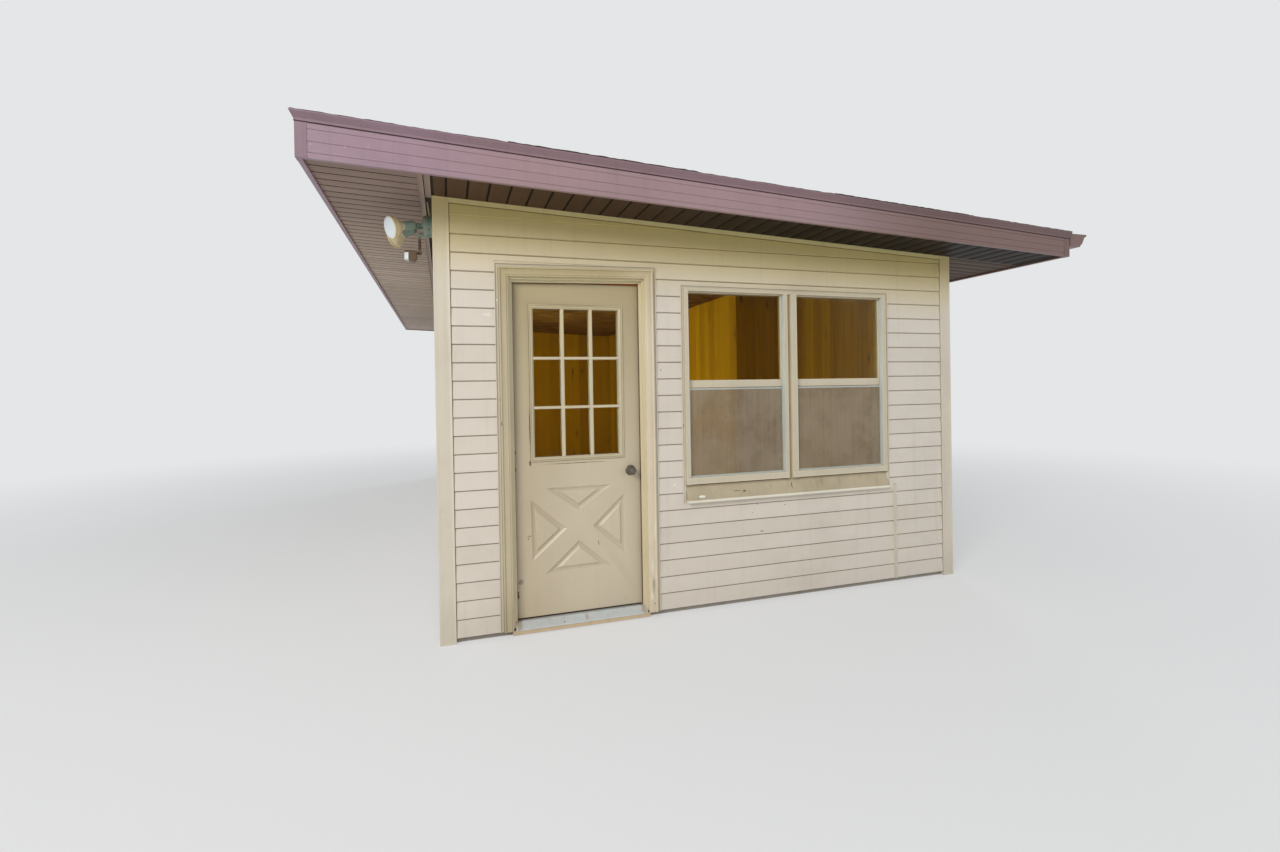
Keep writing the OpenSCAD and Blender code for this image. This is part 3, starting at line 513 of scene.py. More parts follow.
def painted(name, colour, grime, amount, foot=0.0, eave=0.0, dust=0xCEB868, roughness=0.45, depth=0.0004,
            marks=(), shades=(), hollow=0.5, reach=0.5, **plain):
    """A painted or coated surface with its weathering and marks on it, and painted shade under the eaves and in
    hollows; shades are tones of painted light and shade that come in along the front.
    """
    paint, spot = finish_called(name, **plain)
    shown = tone(colour)
    for start, end, shade in shades:
        shown = mix(between(axes(spot)[0], corner.x + start, corner.x + end), shown, tone(shade))
    hollows = node(spot.tree, "Attribute", {}, "Fac", attribute_name="hollow") * hollow
    age_and_shade_out = use(age_and_shade, Place=spot, Colour=shown, Grime=tone(grime), Amount=amount, Foot=foot, Eave=eave,
               Dust=tone(dust), Hollow=hollows, Reach=reach)
    paint(Base_Color=marked(age_and_shade_out["Colour"], spot, marks), Normal=bump(age_and_shade_out["Height"], depth),
          Roughness=between(age_and_shade_out["Mask"], 0.0, 0.6, roughness, min(1.0, roughness + 0.25)))


def siding_finish(name, low, high, grime, dust, crevice, marks):
    """Lapped siding: a painted shade line at each butt, which fades towards the top, a painted shadow under the frieze,
    and painted shade with dust under the eaves.
    """
    paint, spot = finish_called(name, Roughness=0.5)
    line = use(courses, Place=spot, Pitch=COURSE, First=FIRST_BUTT)
    age_and_shade_out = use(age_and_shade, Place=spot, Colour=mix(line["Tone"], tone(low), tone(high)), Grime=tone(grime), Amount=0.3,
               Foot=0.12, Eave=0.85, Dust=tone(dust), Reach=0.58)
    butt_shadows = line["Crevice"] * between(axes(spot)[2], 2.37, 2.42, 0.85, 0.15)
    frieze_foot = FRIEZE - SOFFIT_UP
    frieze_shadow = between(under_eave(spot), frieze_foot + 0.009, frieze_foot + 0.004) * 0.7
    shown = mix(maths("MAXIMUM", butt_shadows, frieze_shadow), age_and_shade_out["Colour"], tone(crevice))
    waves = noise(spot, 1.0, 2, 0.4, (2.2, 2.2, 9.0))
    paint(Base_Color=marked(shown, spot, marks), Normal=bump(age_and_shade_out["Height"] * 0.25 + waves, 0.0012, 0.6))


def pine_finish(name, light, dark, knot):
    paint, spot = finish_called(name, Roughness=0.6, Specular_IOR_Level=0.0)
    wood = use(pine, Place=spot, Board=0.133, Light=tone(light), Dark=tone(dark), Knot=tone(knot))
    paint(Base_Color=wood["Colour"], Normal=bump(wood["Height"], 0.0006))


def soffit_finish(name, colour, grime, seam_shade, along, first, pitch, ribs, shades):
    """Ribbed soffit panels: a painted shade line in the seam at each joint and fainter painted shade at the ribs
    between; shades are tones of painted light and shade along an axis.
    """
    paint, spot = finish_called(name, Roughness=0.6, Specular_IOR_Level=0.2)
    shown, grime = tone(colour), tone(grime)
    for axis, start, end, shade in shades:
        shown = mix(between(axes(spot)[axis], corner[axis] + start, corner[axis] + end), shown, tone(shade))
    age_and_shade_out = use(age_and_shade, Place=spot, Colour=shown, Grime=grime, Amount=0.4)
    at = (axes(spot)[along] - (corner[along] + first)) / pitch
    share = maths("FRACT", at)
    dark = between(maths("MINIMUM", share, maths("SUBTRACT", 1.0, share)) * pitch, 0.008, 0.0036)
    light = mix(chance(maths("FLOOR", at)) * 0.25, age_and_shade_out["Colour"], grime)
    if ribs:
        light = mix(between(maths("FRACT", at * ribs), 0.18, 0.05) * 0.3, light, grime)
    paint(Base_Color=mix(dark * 0.92, light, tone(seam_shade)), Normal=bump(age_and_shade_out["Height"] * 0.4 - dark, 0.002))


def cloth_finish(name, colour, grime, cover, threads):
    """Insect screen: a fine weave that the room shows through."""
    paint, spot = finish_called(name, Roughness=0.7)
    x, y, z = axes(spot)
    weave = maths("SINE", (x + y) * threads) * maths("SINE", z * threads)
    haze = noise(spot, 3.5, 4, 0.6)
    dusty = (haze + noise(spot, 1.0, 4, 0.6, (60, 60, 1.6))) * 0.5
    paint(Base_Color=mix(between(dusty, 0.3, 0.8), tone(colour), tone(grime)), Normal=bump(weave, 0.0004),
          Alpha=weave * 0.12 + cover + between(haze, 0.4, 0.65, 0.07, -0.07))


def glass_finish(name, tint):
    """Thin clear glass: mostly see-through, with the sheen of its faces and some dust."""
    paint, spot = finish_called(name, Transmission_Weight=1.0, IOR=1.45, Base_Color=tint)
    paint(Roughness=between(noise(spot, 7, 5, 0.7), 0.35, 0.9, 0.02, 0.16))
    show(maths("ADD", node(spot.tree, "Fresnel", {"IOR": 1.5}), 0.04, clamp=True),
         node(spot.tree, "BsdfTransparent", {"Color": tint}), own_look(spot.tree))


def on_front(*rows):
    """Marks on the front: each row has a colour, its size, its place in x and z, and its squeeze in x and z."""
    return tuple((mark_colour, size, (x, 0, z), (pull_x, 0, pull_z)) for mark_colour, size, x, z, pull_x, pull_z in rows)


# The last colour is for painted shade lines
RUST, SCRAPE, PALE, WORN, SHADE_LINE = 0x5C2E16, 0x62543E, 0xECEAE4, 0xE2D8C6, 0x786442
SIDING_MARKS = on_front(
    (0xE2DBCE, 0.013, 0.279, 1.885, 0.45, 0.8), (SCRAPE, 0.004, 1.345, 1.558, 1, 0.5),
    (SCRAPE, 0.006, 2.05, 0.47, 0.3, 1.5), (PALE, 0.006, 1.425, 0.82, 0.5, 1),
    # These two marks, upright lines where the corner posts meet the siding, are painted shade
    (0x705A2E, 0.0032, 0.0795, 0, 1, 0), (0x806A46, 0.003, 3.5805, 0, 1, 0),
    (RUST, 0.0035, 2.02, 0.655, 1, 0.6), (RUST, 0.003, 1.98, 0.6, 1, 0.7), (SCRAPE, 0.004, 2.23, 0.635, 0.6, 1))
DOOR_MARKS = on_front(
    (RUST, 0.006, 0.43, 1.071, 1, 0.35), (RUST, 0.007, 0.43, 0.97, 1, 0.4),
    (RUST, 0.014, 0.431, 0.216, 1.1, 0.45), (SCRAPE, 0.005, 0.509, 0.566, 0.25, 1.6),
    (RUST, 0.004, 0.5, 0.552, 1, 0.5), (SCRAPE, 0.0045, 0.931, 0.492, 1.2, 0.4),
    (RUST, 0.004, 0.936, 0.478, 1, 0.6), (RUST, 0.004, 1.1, 0.118, 1.5, 0.8),
    (0x968474, 0.02, 0.452, 0.295, 1, 1), (SCRAPE, 0.01, 0.518, 1.003, 1, 0.5),
    # The last three marks, lines along the lite moulding's left side, foot and head, are painted shade
    (SHADE_LINE, 0.007, 0.519, 1.22, 1.4, 0.05), (SHADE_LINE, 0.005, 0.8, 0.992, 0.02, 1.6),
    (0x968664, 0.006, 0.8, 1.96, 0.02, 1.6))
CASING_MARKS = on_front(
    (WORN, 0.012, 1.262, 0.32, 1, 0.2), (WORN, 0.01, 1.284, 0.55, 1.6, 0.14), (WORN, 0.012, 1.258, 0.14, 1, 0.3),
    (0xB0A48E, 0.014, 1.27, 0.2, 1.2, 0.2), (SCRAPE, 0.006, 0.35, 1.25, 1.8, 0.3),
    (WORN, 0.005, 1.3, 0.9, 1.4, 0.12), (SCRAPE, 0.004, 1.276, 0.085, 1, 0.5),
    (0x826E48, 0.003, 0.345, 1.39, 1, 0.3))
THRESHOLD_MARKS = on_front(
    (0xB2A494, 0.012, 0.435, 0.06, 0.5, 0.3), (0xBEB2A8, 0.006, 0.84, 0.055, 0.5, 0.3),
    (SCRAPE, 0.003, 0.7, 0.045, 0.6, 0.8), (0xB8AC9C, 0.013, 1.207, 0.05, 0.6, 0.4),
# The pale line along the threshold's back edge is a painted highlight
) + ((0xEEE4DE, 0.0042, (0.8, 0.0435, 0), (0.008, 1, 0)),)
CHANNEL_MARKS = on_front((PALE, 0.006, 0.335, 1.97, 0.9, 0.8), (SCRAPE, 0.005, 1.492, 1.2, 1.2, 0.3))
SILL_MARKS = on_front(
    # The second mark, a line across the top of the sill's slope under the bottom rail, is a painted shadow
    (PALE, 0.015, 1.607, 0.737, 0.5, 1.5), (0x604C2C, 0.0045, 2, 0.8125, 0, 1),
    (0x3C3020, 0.008, 1.915, 0.752, 0.5, 1.3), (0x322618, 0.006, 2.279, 0.765, 1.5, 0.2),
    (SCRAPE, 0.006, 1.86, 0.757, 0.2, 1.8))
FASCIA_MARKS = on_front(*((0xD2C2C6, 0.003, x, z, 1, 1) for x, z in (
    (-0.545, 2.626), (-0.555, 2.578), (-0.395, 2.628), (-0.293, 2.639), (-0.585, 2.69), (0.62, 2.602))))
BOX_MARKS = ((0x68503C, 0.05, (-0.085, 0.15, 2.3), (1, 1, 1)),
             (0x967454, 0.01, (-0.03, 0.1, 2.39), (1, 1, 0.5)))

# In these coats, eave is the share of painted shade and dust under the eaves, hollow the share of dirt and painted
# shade in hollows, and shades give painted light and shade along the front
siding_finish("siding_coat", 0xD5CCBE, 0xDDD4C8, 0x84765C, 0xC8B25A, 0x624A28, SIDING_MARKS)
painted("trim_coat", 0xD8CFBD, 0x706242, 0.3, foot=0.12, eave=0.75, marks=CHANNEL_MARKS)
painted("frieze_coat", 0xE2D6A0, 0x82703E, 0.3, eave=0.35)
painted("window_coat", 0xD8CDB5, 0x786846, 0.25, eave=0.3, marks=SILL_MARKS, hollow=0.6)
# The groove between the two windows: a darker coat for painted shade, with dirt
painted("groove_coat", 0xCEC0A0, 0x544428, 0.7, hollow=1.0)
# The sill's slope: the window paint darker, as painted shade
painted("sill_paint", 0xBCAF93, 0x705E40, 0.8, roughness=0.6, depth=0.0012, marks=SILL_MARKS)
# The sill's lip: the window paint lighter, as painted light
painted("lip_coat", 0xE8E2D0, 0x968868, 0.4, roughness=0.5)
# The casing: painted shade under its head and a lighter right leg for painted light
painted("casing_coat", 0xC2B597, 0x705E3C, 0.4, foot=0.2, eave=0.75, roughness=0.4, reach=0.8,
        dust=0xAC9858, depth=0.0008, marks=CASING_MARKS, shades=((1.0, 1.26, 0xDED0B6),), hollow=0.25)
# The door: painted shade that darkens it towards its top, and a lighter right part for painted light
painted("door_coat", 0xC2B49A, 0x8C7858, 0.26, eave=0.9, dust=0xA2936A, roughness=0.38, reach=1.9,
        marks=DOOR_MARKS, shades=((0.45, 0.85, 0xCCBFA7),))
# The door's jamb: the casing paint lighter, as painted light against the casing's shade
painted("lit_jamb_coat", 0xD8CDAC, 0x827048, 0.3, eave=0.6, dust=0xB8A860, reach=0.7)
painted("lite_coat", 0xCCC0A2, 0x82704C, 0.26, eave=0.4, roughness=0.38, reach=1.1, marks=DOOR_MARKS,
        hollow=0.6)
# The ring round the door's lite moulding: dirt and painted shade
painted("seam_dirt_and_shade", 0x705E3E, 0x463620, 0.6, roughness=0.8)
painted("seal_rubber", 0x5C3E2A, 0x302218, 0.6, roughness=0.7)
# Also a painted shadow for the gap under the door, on its foot and on the threshold
painted("sweep_rubber_and_gap_shade", 0x2C1A12, 0x5C3622, 0.6, roughness=0.8)
painted("head_gap_paint", 0xC4622C, 0x703218, 0.5, roughness=0.7)
painted("track_metal", 0xC8CFCA, 0x828270, 0.4, roughness=0.35, Metallic=0.15)
# The fascia, roof edge and corner caps: their tones along the front, darker towards the hill side, are painted shade;
# the roof edge is the fascia's brown darker, as painted shade
painted("brown_coat", 0x9C828F, 0x604C4A, 0.4, roughness=0.42, marks=FASCIA_MARKS,
        shades=((-0.3, 0.6, 0x9E8386), (1.9, 3.3, 0x785E58)))
painted("shaded_band_coat", 0x8A717C, 0x4A3836, 0.55, roughness=0.42,
        shades=((-0.2, 0.5, 0x886E74), (1.9, 3.3, 0x705856)))
painted("cap_coat", 0x8E7480, 0x543E40, 0.6, roughness=0.42, shades=((1.9, 3.3, 0x725854),))
painted("fascia_shadow", 0x382422, 0x1E1412, 0.6, roughness=0.8)
# The eave soffits: lighter towards the back as painted light, darker past x 3.3 as painted shade
soffit_finish("soffit_coat", 0x998378, 0x604E44, 0x2C2018, 1, IN_ENDS[0], 0.1, 3,
              ((1, -0.3, 2.6, 0xDECCBE), (0, 3.3, 3.7, 0x544236)))
# The rake soffits: the soffit darker, as painted shade, and darker still towards the hill side
soffit_finish("shaded_soffit_coat", 0x5C4432, 0x36251A, 0x0C0806, 0, -0.0455, 0.1115, 0,
              ((0, 0.0, 2.4, 0x1E140D),))
painted("strip_coat", 0x9C8678, 0x544234, 0.55)
# Dark wood, also used as a painted shade behind the gap in the soffit channel
painted("dark_wood_and_gap_shade", 0x3A2A23, 0x221814, 0.8, roughness=0.85, depth=0.002)
painted("sill_coat", 0xCAB492, 0x7A684C, 0.9, roughness=0.7, depth=0.0015)
painted("threshold_metal", 0xCCD1D1, 0x927C64, 0.8, roughness=0.4, Metallic=0.25, marks=THRESHOLD_MARKS)
painted("concrete", 0x9E988E, 0x60584C, 0.7, roughness=0.85, depth=0.003)
painted("roof_grit", 0x463C38, 0x24201E, 0.9, roughness=0.95, depth=0.006)
cloth_finish("screen_mesh", 0xB0A088, 0x96866C, 0.53, 3900.0)
painted("knob_metal", 0x767064, 0x1E1A16, 0.8, roughness=0.25, Metallic=0.85)
painted("hinge_metal", 0x967C4E, 0x463422, 0.8, roughness=0.4, Metallic=0.8)
painted("box_coat", 0x8A9E92, 0x4A4E3A, 0.8, roughness=0.6, depth=0.001, marks=BOX_MARKS)
painted("lamp_glass", 0xE8F0F4, 0xBEBEAA, 0.25, roughness=0.1, Coat_Weight=0.6)
painted("lamp_back", 0xE6D6B0, 0x8C703E, 0.5, roughness=0.3, Coat_Weight=0.3)
painted("lamp_rim", 0xD6BE86, 0x6E5228, 0.6, roughness=0.35, Metallic=0.2)
painted("sensor_plastic", 0x685038, 0x34261C, 0.5, roughness=0.5)
painted("sensor_lens", 0xDEE6EA, 0xAAAAA0, 0.4, roughness=0.35)
painted("cable_sheath", 0xF0D48E, 0x8C7040, 0.5, roughness=0.5)
glass_finish("pane", (0.92, 0.93, 0.88, 1.0))
pine_finish("room_pine", 0xDEAA08, 0xB68604, 0x5E3C06)
pine_finish("ceiling_pine", 0x967032, 0x68481C, 0x382612)

# The nodes that still show, apart from the walls
NODE_COATS = {
    "floor_slab": "concrete", "frieze": "frieze_coat", "roof_deck": "ceiling_pine", "roof_edge": "shaded_band_coat",
    "gutter": "brown_coat", "door_frame": "lit_jamb_coat", "door_sill": "sill_coat", "door_threshold": "threshold_metal",
    "frame_hinges": "hinge_metal", "leaf_hinges": "hinge_metal", "light_bracket": "box_coat",
    "light_cable": "cable_sheath", "store_wall": "room_pine",
}
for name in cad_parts:
    for material_slot in bpy.data.objects[name].material_slots:
        material_slot.material = coats[NODE_COATS.get(name, "siding_coat")]

# ------ siding

# Each wall's face: the axis it looks along, which way, and where it lies
WALLS = {"front": (1, -1, 0), "back": (1, 1, DEPTH), "lake": (0, -1, 0), "hill": (0, 1, WIDTH)}


def outward(side):
    axis, way, face = WALLS[side]
    return Vector((0, way, 0) if axis else (way, 0, 0))


def on_wall(side, a, b, out_low, out_high, low, high):
    """Corners of a block on one wall: a to b along it, and out_low to out_high beyond its face."""
    axis, way, face = WALLS[side]
    near, far = sorted((face + way * out_low, face + way * out_high))
    return ((a, near, low), (b, far, high)) if axis else ((near, a, low), (far, b, high))


def beyond(side, at):
    """How far a place lies beyond the face of a wall."""
    axis, way, face = WALLS[side]
    return way * (at[axis] - face)


def lap_boards(name, side, a, b, low, high=None):
    """Courses of lapped siding on one stretch of a wall, up to a height or to the soffit."""
    first = math.floor((low - FIRST_BUTT) / COURSE + 0.01)
    last = math.ceil(((high or SOFFIT_LINE[0] + SOFFIT_UP) - FIRST_BUTT) / COURSE)
    foot = FIRST_BUTT + first * COURSE
    board = block(name, *on_wall(side, a, b, -0.002, BUTT_OUT, foot, foot + COURSE + 0.004))

    def outer_edge(at, way):
        return beyond(side, at) > BUTT_OUT / 2 and abs(way.z) < 0.5

    edit(board)
    pick(board, "EDGE", lambda at, way: outer_edge(at, way) and at.z > foot + COURSE / 2)
    push(-outward(side) * (BUTT_OUT - BOARD_OUT))
    pick(board, "EDGE", lambda at, way: outer_edge(at, way) and at.z < foot + CLOSE)
    bpy.ops.mesh.bevel(offset=0.003, segments=2)
    pick(board, "FACE", lambda at, n: n.z < -0.5 and at.z < foot + CLOSE)
    move(z=0.003)
    done()
    repeat(board, last - first, (0, 0, COURSE))
    if low > foot + CLOSE:
        cut(board, (0, 0, low), (0, 0, -1))
    if high:
        cut(board, (0, 0, high), (0, 0, 1))
    else:
        trim(board, SOFFIT_LINE, SOFFIT_UP - FRIEZE)
    smooth(board)
    finish(board, "siding", "siding_coat")


POST_IN, CHANNEL = 0.078, 0.022
HEAD_LOW, HEAD_HIGH, OVER_DOOR = 2.098, 2.118, 2.203
FOOT, OVER_WINDOW, UNDER_WINDOW = LAST_BUTT - 22 * COURSE, WINDOW_HEAD + CHANNEL, WINDOW_FOOT - CHANNEL
door_side = (DOORWAY[0] - REVEAL - CASING, DOORWAY[1] + REVEAL + CASING)
door_gap, window_gap, lake_gap = ((a - CHANNEL, b + CHANNEL) for a, b in (door_side, WINDOW, LAKE_WINDOW))
for stretch in (
        ("front_siding_left", "front", POST_IN, door_gap[0], FOOT),
        ("front_siding_over_door", "front", *door_gap, OVER_DOOR),
        ("front_siding_pier", "front", door_gap[1], window_gap[0], FOOT),
        ("front_siding_over_window", "front", *window_gap, OVER_WINDOW),
        ("front_siding_under_window", "front", *window_gap, FOOT, UNDER_WINDOW),
        ("front_siding_right", "front", window_gap[1], WIDTH - POST_IN, FOOT),
        ("lake_siding_front", "lake", POST_IN, lake_gap[0], FOOT),
        ("lake_siding_over_window", "lake", *lake_gap, OVER_WINDOW),
        ("lake_siding_under_window", "lake", *lake_gap, FOOT, UNDER_WINDOW),
        ("lake_siding_back", "lake", lake_gap[1], DEPTH - POST_IN, FOOT),
        ("hill_siding", "hill", POST_IN, DEPTH - POST_IN, FOOT),
        ("back_siding", "back", POST_IN, WIDTH - POST_IN, FOOT)):
    lap_boards(*stretch)

# ------ roof

GROOVES = (0.15, 0.44, 0.76)


def between_lines(name, x, y, low, high):
    """A block over a run in x and y, trimmed between two of the roof's lines, each given with a height above it."""
    piece = block(name, (x[0], y[0], BELOW_ROOF), (x[1], y[1], ABOVE_ROOF))
    trim(piece, *low, -1)
    trim(piece, *high)
    return piece


def groove(piece, share, out):
    """Presses one groove into the outer face of a fascia, at a share of its height."""
    z, slope = (low + share * (high - low) for low, high in zip(SOFFIT_LINE, CAP_LINE))
    edit(piece)
    for shift in (-0.0014, 0.0014):
        pick_all()
        bpy.ops.mesh.bisect(plane_co=place(0, 0, z + shift), plane_no=(slope, 0, 1))
    pick(piece, "FACE", lambda at, n: n.dot(out) > ALIGNED and abs(at.z - z + slope * at.x) < CLOSE)
    extrude(-out * 0.0022)
    done()


def fascia(name, side, x, y):
    piece = between_lines(name, x, y, (SOFFIT_LINE, 0.0), (CAP_LINE, EDGE_H - 0.0005))
    for share in GROOVES:
        groove(piece, share, outward(side))
    return piece


for name, boards, replaced in (
        ("rake_fascia_boards", (("front", ROOF, (ENDS[0], IN_ENDS[0])), ("back", ROOF, (IN_ENDS[1], ENDS[1]))),
         "rake_fascias"),
        ("eave_fascia_boards", (("lake", (ROOF[0], ROOF[0] + FASCIA_T), IN_ENDS),
                                ("hill", (ROOF[1] - FASCIA_T, ROOF[1]), IN_ENDS)), "eave_fascias")):
    finish(join([fascia(name, *board) for board in boards]), "brown_metal", "brown_coat", replaced)
gutter_top = height(CAP_LINE, ROOF[1])
packer = bar("gutter_packer", (ROOF[1], ENDS[0] + 0.012, gutter_top - 0.062),
             (ROOF[1] + PACKER, ENDS[1] - 0.012, gutter_top - 0.004), 0.003, (0.01, 0.0015))
finish(packer, "brown_metal", "dark_wood_and_gap_shade")


def corner_cap(name, x, x_in, y, y_in):
    """Bent metal cap over one corner of the fascia."""
    piece = between_lines(name, sorted((x, x + x_in * 0.052)), sorted((y, y + y_in * 0.052)),
                          (SOFFIT_LINE, -0.001), (CAP_LINE, -0.0012))
    edit(piece)
    pick(piece, "FACE", lambda at, n: n.x * x_in < -ALIGNED or n.y * y_in < -ALIGNED)
    bpy.ops.mesh.select_all(action="INVERT")
    bpy.ops.mesh.delete(type="FACE")
    done()
    add_modifier(piece, "SOLIDIFY", thickness=0.0018, offset=1.0)
    round_edges(piece, 0.0006, 1)
    return piece


def edge_strips(name, out, top, foot):
    """Strips along the front, back and lake side under the roof's edge metal, between two heights from the cap line."""
    left, whole = ROOF[0] - out, (ROOF[0] - out, ROOF[1] + 0.0024)
    return join([between_lines(name, x, y, (CAP_LINE, foot), (CAP_LINE, top)) for x, y in (
        (whole, (ENDS[0] - out, ENDS[0] + 0.002)), (whole, (ENDS[1] - 0.002, ENDS[1] + out)),
        ((left, ROOF[0] + 0.002), ENDS))])


hem = edge_strips("roof_edge_hem", 0.0042, 0.0015, -0.011)
round_edges(hem, 0.0012)
finish(gather_dirt_and_shade(hem), "brown_metal", "shaded_band_coat")
# A dark strip just outside the fascia under the hem: a painted shadow line
finish(edge_strips("fascia_shadow_line", 0.0026, -0.0105, -0.0155), "brown_metal", "fascia_shadow")
caps = join([corner_cap("fascia_corner_caps", x, x_in, y, y_in) for x, x_in in zip(ROOF, (1, -1))
             for y, y_in in zip(ENDS, (1, -1))])
finish(gather_dirt_and_shade(caps), "brown_metal", "cap_coat")


def soffit_boards(name, x0, x1, y0, y1, pitch, run, first):
    """Grooved soffit panel: strips that run along x (0, the eaves) or y (1, the rakes), under the fall of the roof."""
    fall = -SOFFIT_LINE[1] * (pitch if run else x1 - x0)
    (a, b), (c, d) = ((first, first + pitch), (y0, y1)) if run else ((x0, x1), (first, first + pitch))
    foot = height(SOFFIT_LINE, a) + SOFFIT_UP
    strip = block(name, (a, c, foot), (b, d, foot + SOFFIT_T))
    edit(strip)
    pick(strip, "VERT", lambda at, n: at.x > (a + b) / 2)
    move(z=fall)
    pick(strip, "EDGE", lambda at, way: (abs(way[run]) > ALIGNED
                                         and at.z < height(SOFFIT_LINE, at.x) + SOFFIT_UP + SOFFIT_T / 2))
    bpy.ops.mesh.bevel(offset=0.006, segments=2)
    done()
    repeat(strip, math.ceil(((x1 if run else y1) - first) / pitch), (pitch, 0, fall) if run else (0, pitch, 0))
    for low, high, along in ((x0, x1, Vector((1, 0, 0))), (y0, y1, Vector((0, 1, 0)))):
        cut(strip, along * low, -along)
        cut(strip, along * high, along)
    smooth(strip)
    return strip


rake_front = soffit_boards("rake_soffit_strips", 0.0, ROOF[1] - FASCIA_T, IN_ENDS[0], 0.0, 0.1115, 1, -0.0455)
rake_back = copy(rake_front, "rake_soffit_back", y=DEPTH + GABLE - FASCIA_T)
finish(join([rake_front, rake_back]), "soffit", "shaded_soffit_coat", "rake_soffits")
eave_soffits = [soffit_boards("eave_soffit_strips", *span, 0.1, 0, IN_ENDS[0]) for span in (
    (ROOF[0] + FASCIA_T, -BAND, *IN_ENDS), (WIDTH, ROOF[1] - FASCIA_T, 0.0, DEPTH))]
finish(join(eave_soffits), "soffit", "soffit_coat", "eave_soffits")


def channel_strip(name, x, y, up, thick, press):
    """One bent strip beside the lake wall, with its middle pressed in."""
    strip = between_lines(name, x, y, (SOFFIT_LINE, up), (SOFFIT_LINE, up + thick))
    if press:
        edit(strip)
        pick(strip, "FACE", lambda at, n: n.z < -ALIGNED)
        inset((x[1] - x[0]) * 0.24)
        move(z=press)
        done()
    round_edges(strip, 0.0015)
    return strip


GAP_ABOVE = 0.009
INNER, INNER_UP = (-0.045, -0.014), SOFFIT_UP + 0.0005
strips = [channel_strip("soffit_channel_strips", *strip) for strip in (
    ((-0.08, -0.05), IN_ENDS, SOFFIT_UP, 0.011, 0.003),
    (INNER, (IN_ENDS[0], 0.045), INNER_UP, 0.011, 0.0025),
    (INNER, (DEPTH - 0.045, IN_ENDS[1]), INNER_UP, 0.011, 0.0025))]
finish(gather_dirt_and_shade(join(strips)), "soffit", "strip_coat", "soffit_channels")
# A dark strip over the gap between the channel strips: painted shade
finish(channel_strip("soffit_channel_gap_shade", (-0.05, -0.0005), IN_ENDS, SOFFIT_UP + GAP_ABOVE, 0.003, 0.0), "soffit",
       "dark_wood_and_gap_shade")


def felt_sheet(name, x0, x1, low, seed):
    """One length of roofing felt, laid along the eaves, with its ends cut by hand."""
    sheet = between_lines(name, (x0, x1), (ENDS[0] - FELT_OUT, ENDS[1] + FELT_OUT), (CAP_LINE, low),
                          (CAP_LINE, low + 0.004))
    edit(sheet)
    pick(sheet, "EDGE", lambda at, way: abs(way.x) > ALIGNED)
    bpy.ops.mesh.subdivide(number_cuts=40)
    pick(sheet, "VERT", lambda at, n: (at.y < ENDS[0] or at.y > ENDS[1]) and x0 + 0.01 < at.x < x1 - 0.01)
    bpy.ops.transform.vertex_random(offset=0.0022, uniform=0.6, normal=0.0, seed=seed)
    done()
    return sheet


FELT_WIDE, FELT_LOW, FELT_LAP = 1.07, EDGE_H + EDGE_T + 0.0006, 0.0035
sheets = []
for i in range(5):
    start = ROOF[0] - FELT_OUT + i
    end = min(start + FELT_WIDE, ROOF[1] + HILL_LIP + 0.006)
    sheets.append(felt_sheet("roofing_felt", start, end, FELT_LOW + FELT_LAP * (i % 2), i))
finish(join(sheets), "roofing", "roof_grit", "roofing")

# ------ posts and channels

POST, POST_OUT = 0.09, 0.012
post_foot = rest["corner_posts"][0].z


def post_cover(name, x0, y0, x_out, y_out):
    """Vinyl corner post with a shallow flute down each of its two outer faces."""
    piece = block(name, (x0, y0, post_foot), (x0 + POST, y0 + POST, 2.7))
    trim(piece, SOFFIT_LINE, SOFFIT_UP - 0.0004)

    def flute(at, n):
        from_middle = at - Vector((x0 + POST / 2, y0 + POST / 2, 0))
        if not 0.5 < at.z < 2:
            return False
        return ((n.x * x_out > ALIGNED and abs(from_middle.y) < CLOSE and abs(from_middle.x) > 0.04)
                or (n.y * y_out > ALIGNED and abs(from_middle.x) < CLOSE))

    edit(piece)
    pick(piece, "FACE", lambda at, n: n.x * x_out > ALIGNED or n.y * y_out > ALIGNED)
    inset(0.016, True)
    pick(piece, "FACE", flute)
    move(-x_out * 0.0022, -y_out * 0.0022)
    done()
    round_edges(piece, 0.0015)
    return piece


posts = join([post_cover("corner_post_covers", x, y, x_out, y_out)
              for x, x_out in ((-POST_OUT, -1), (WIDTH + POST_OUT - POST, 1))
              for y, y_out in ((-POST_OUT, -1), (DEPTH + POST_OUT - POST, 1))])
finish(gather_dirt_and_shade(posts), "trim", "trim_coat", "corner_posts")

HEAD_RISE, CASING_TOP = HEAD_HIGH - HEAD_LOW, HEAD_LOW + REVEAL + CASING
CHANNEL_FOOT, CHANNEL_OUT, SILL_LOW = 0.031, -0.013, 0.7
CHANNEL_STEPS = ((0.003, 0.0), (0.002, 0.005), (0.014, 0.0), (0.003, 0.004))
channels = [
    surround("siding_channels", (door_gap[0], CHANNEL_OUT, -0.4), (door_gap[1], 0.0, CASING_TOP + CHANNEL),
             CHANNEL_STEPS, HEAD_RISE, CHANNEL_FOOT),
    surround("c", (window_gap[0], CHANNEL_OUT, 0.3), (window_gap[1], 0.0, WINDOW_HEAD + CHANNEL), CHANNEL_STEPS,
             0.0, SILL_LOW),
    bar("c", (window_gap[1] + 0.0405, CHANNEL_OUT, CHANNEL_FOOT), (window_gap[1] + 0.0615, 0.0, SILL_LOW + 0.022),
        0.0015, (0.004, 0.004)),
]
channels.append(on_lake_side(channels[1], "c"))
finish(gather_dirt_and_shade(join(channels)), "trim", "trim_coat", "trim_channels")

# ------ doorway

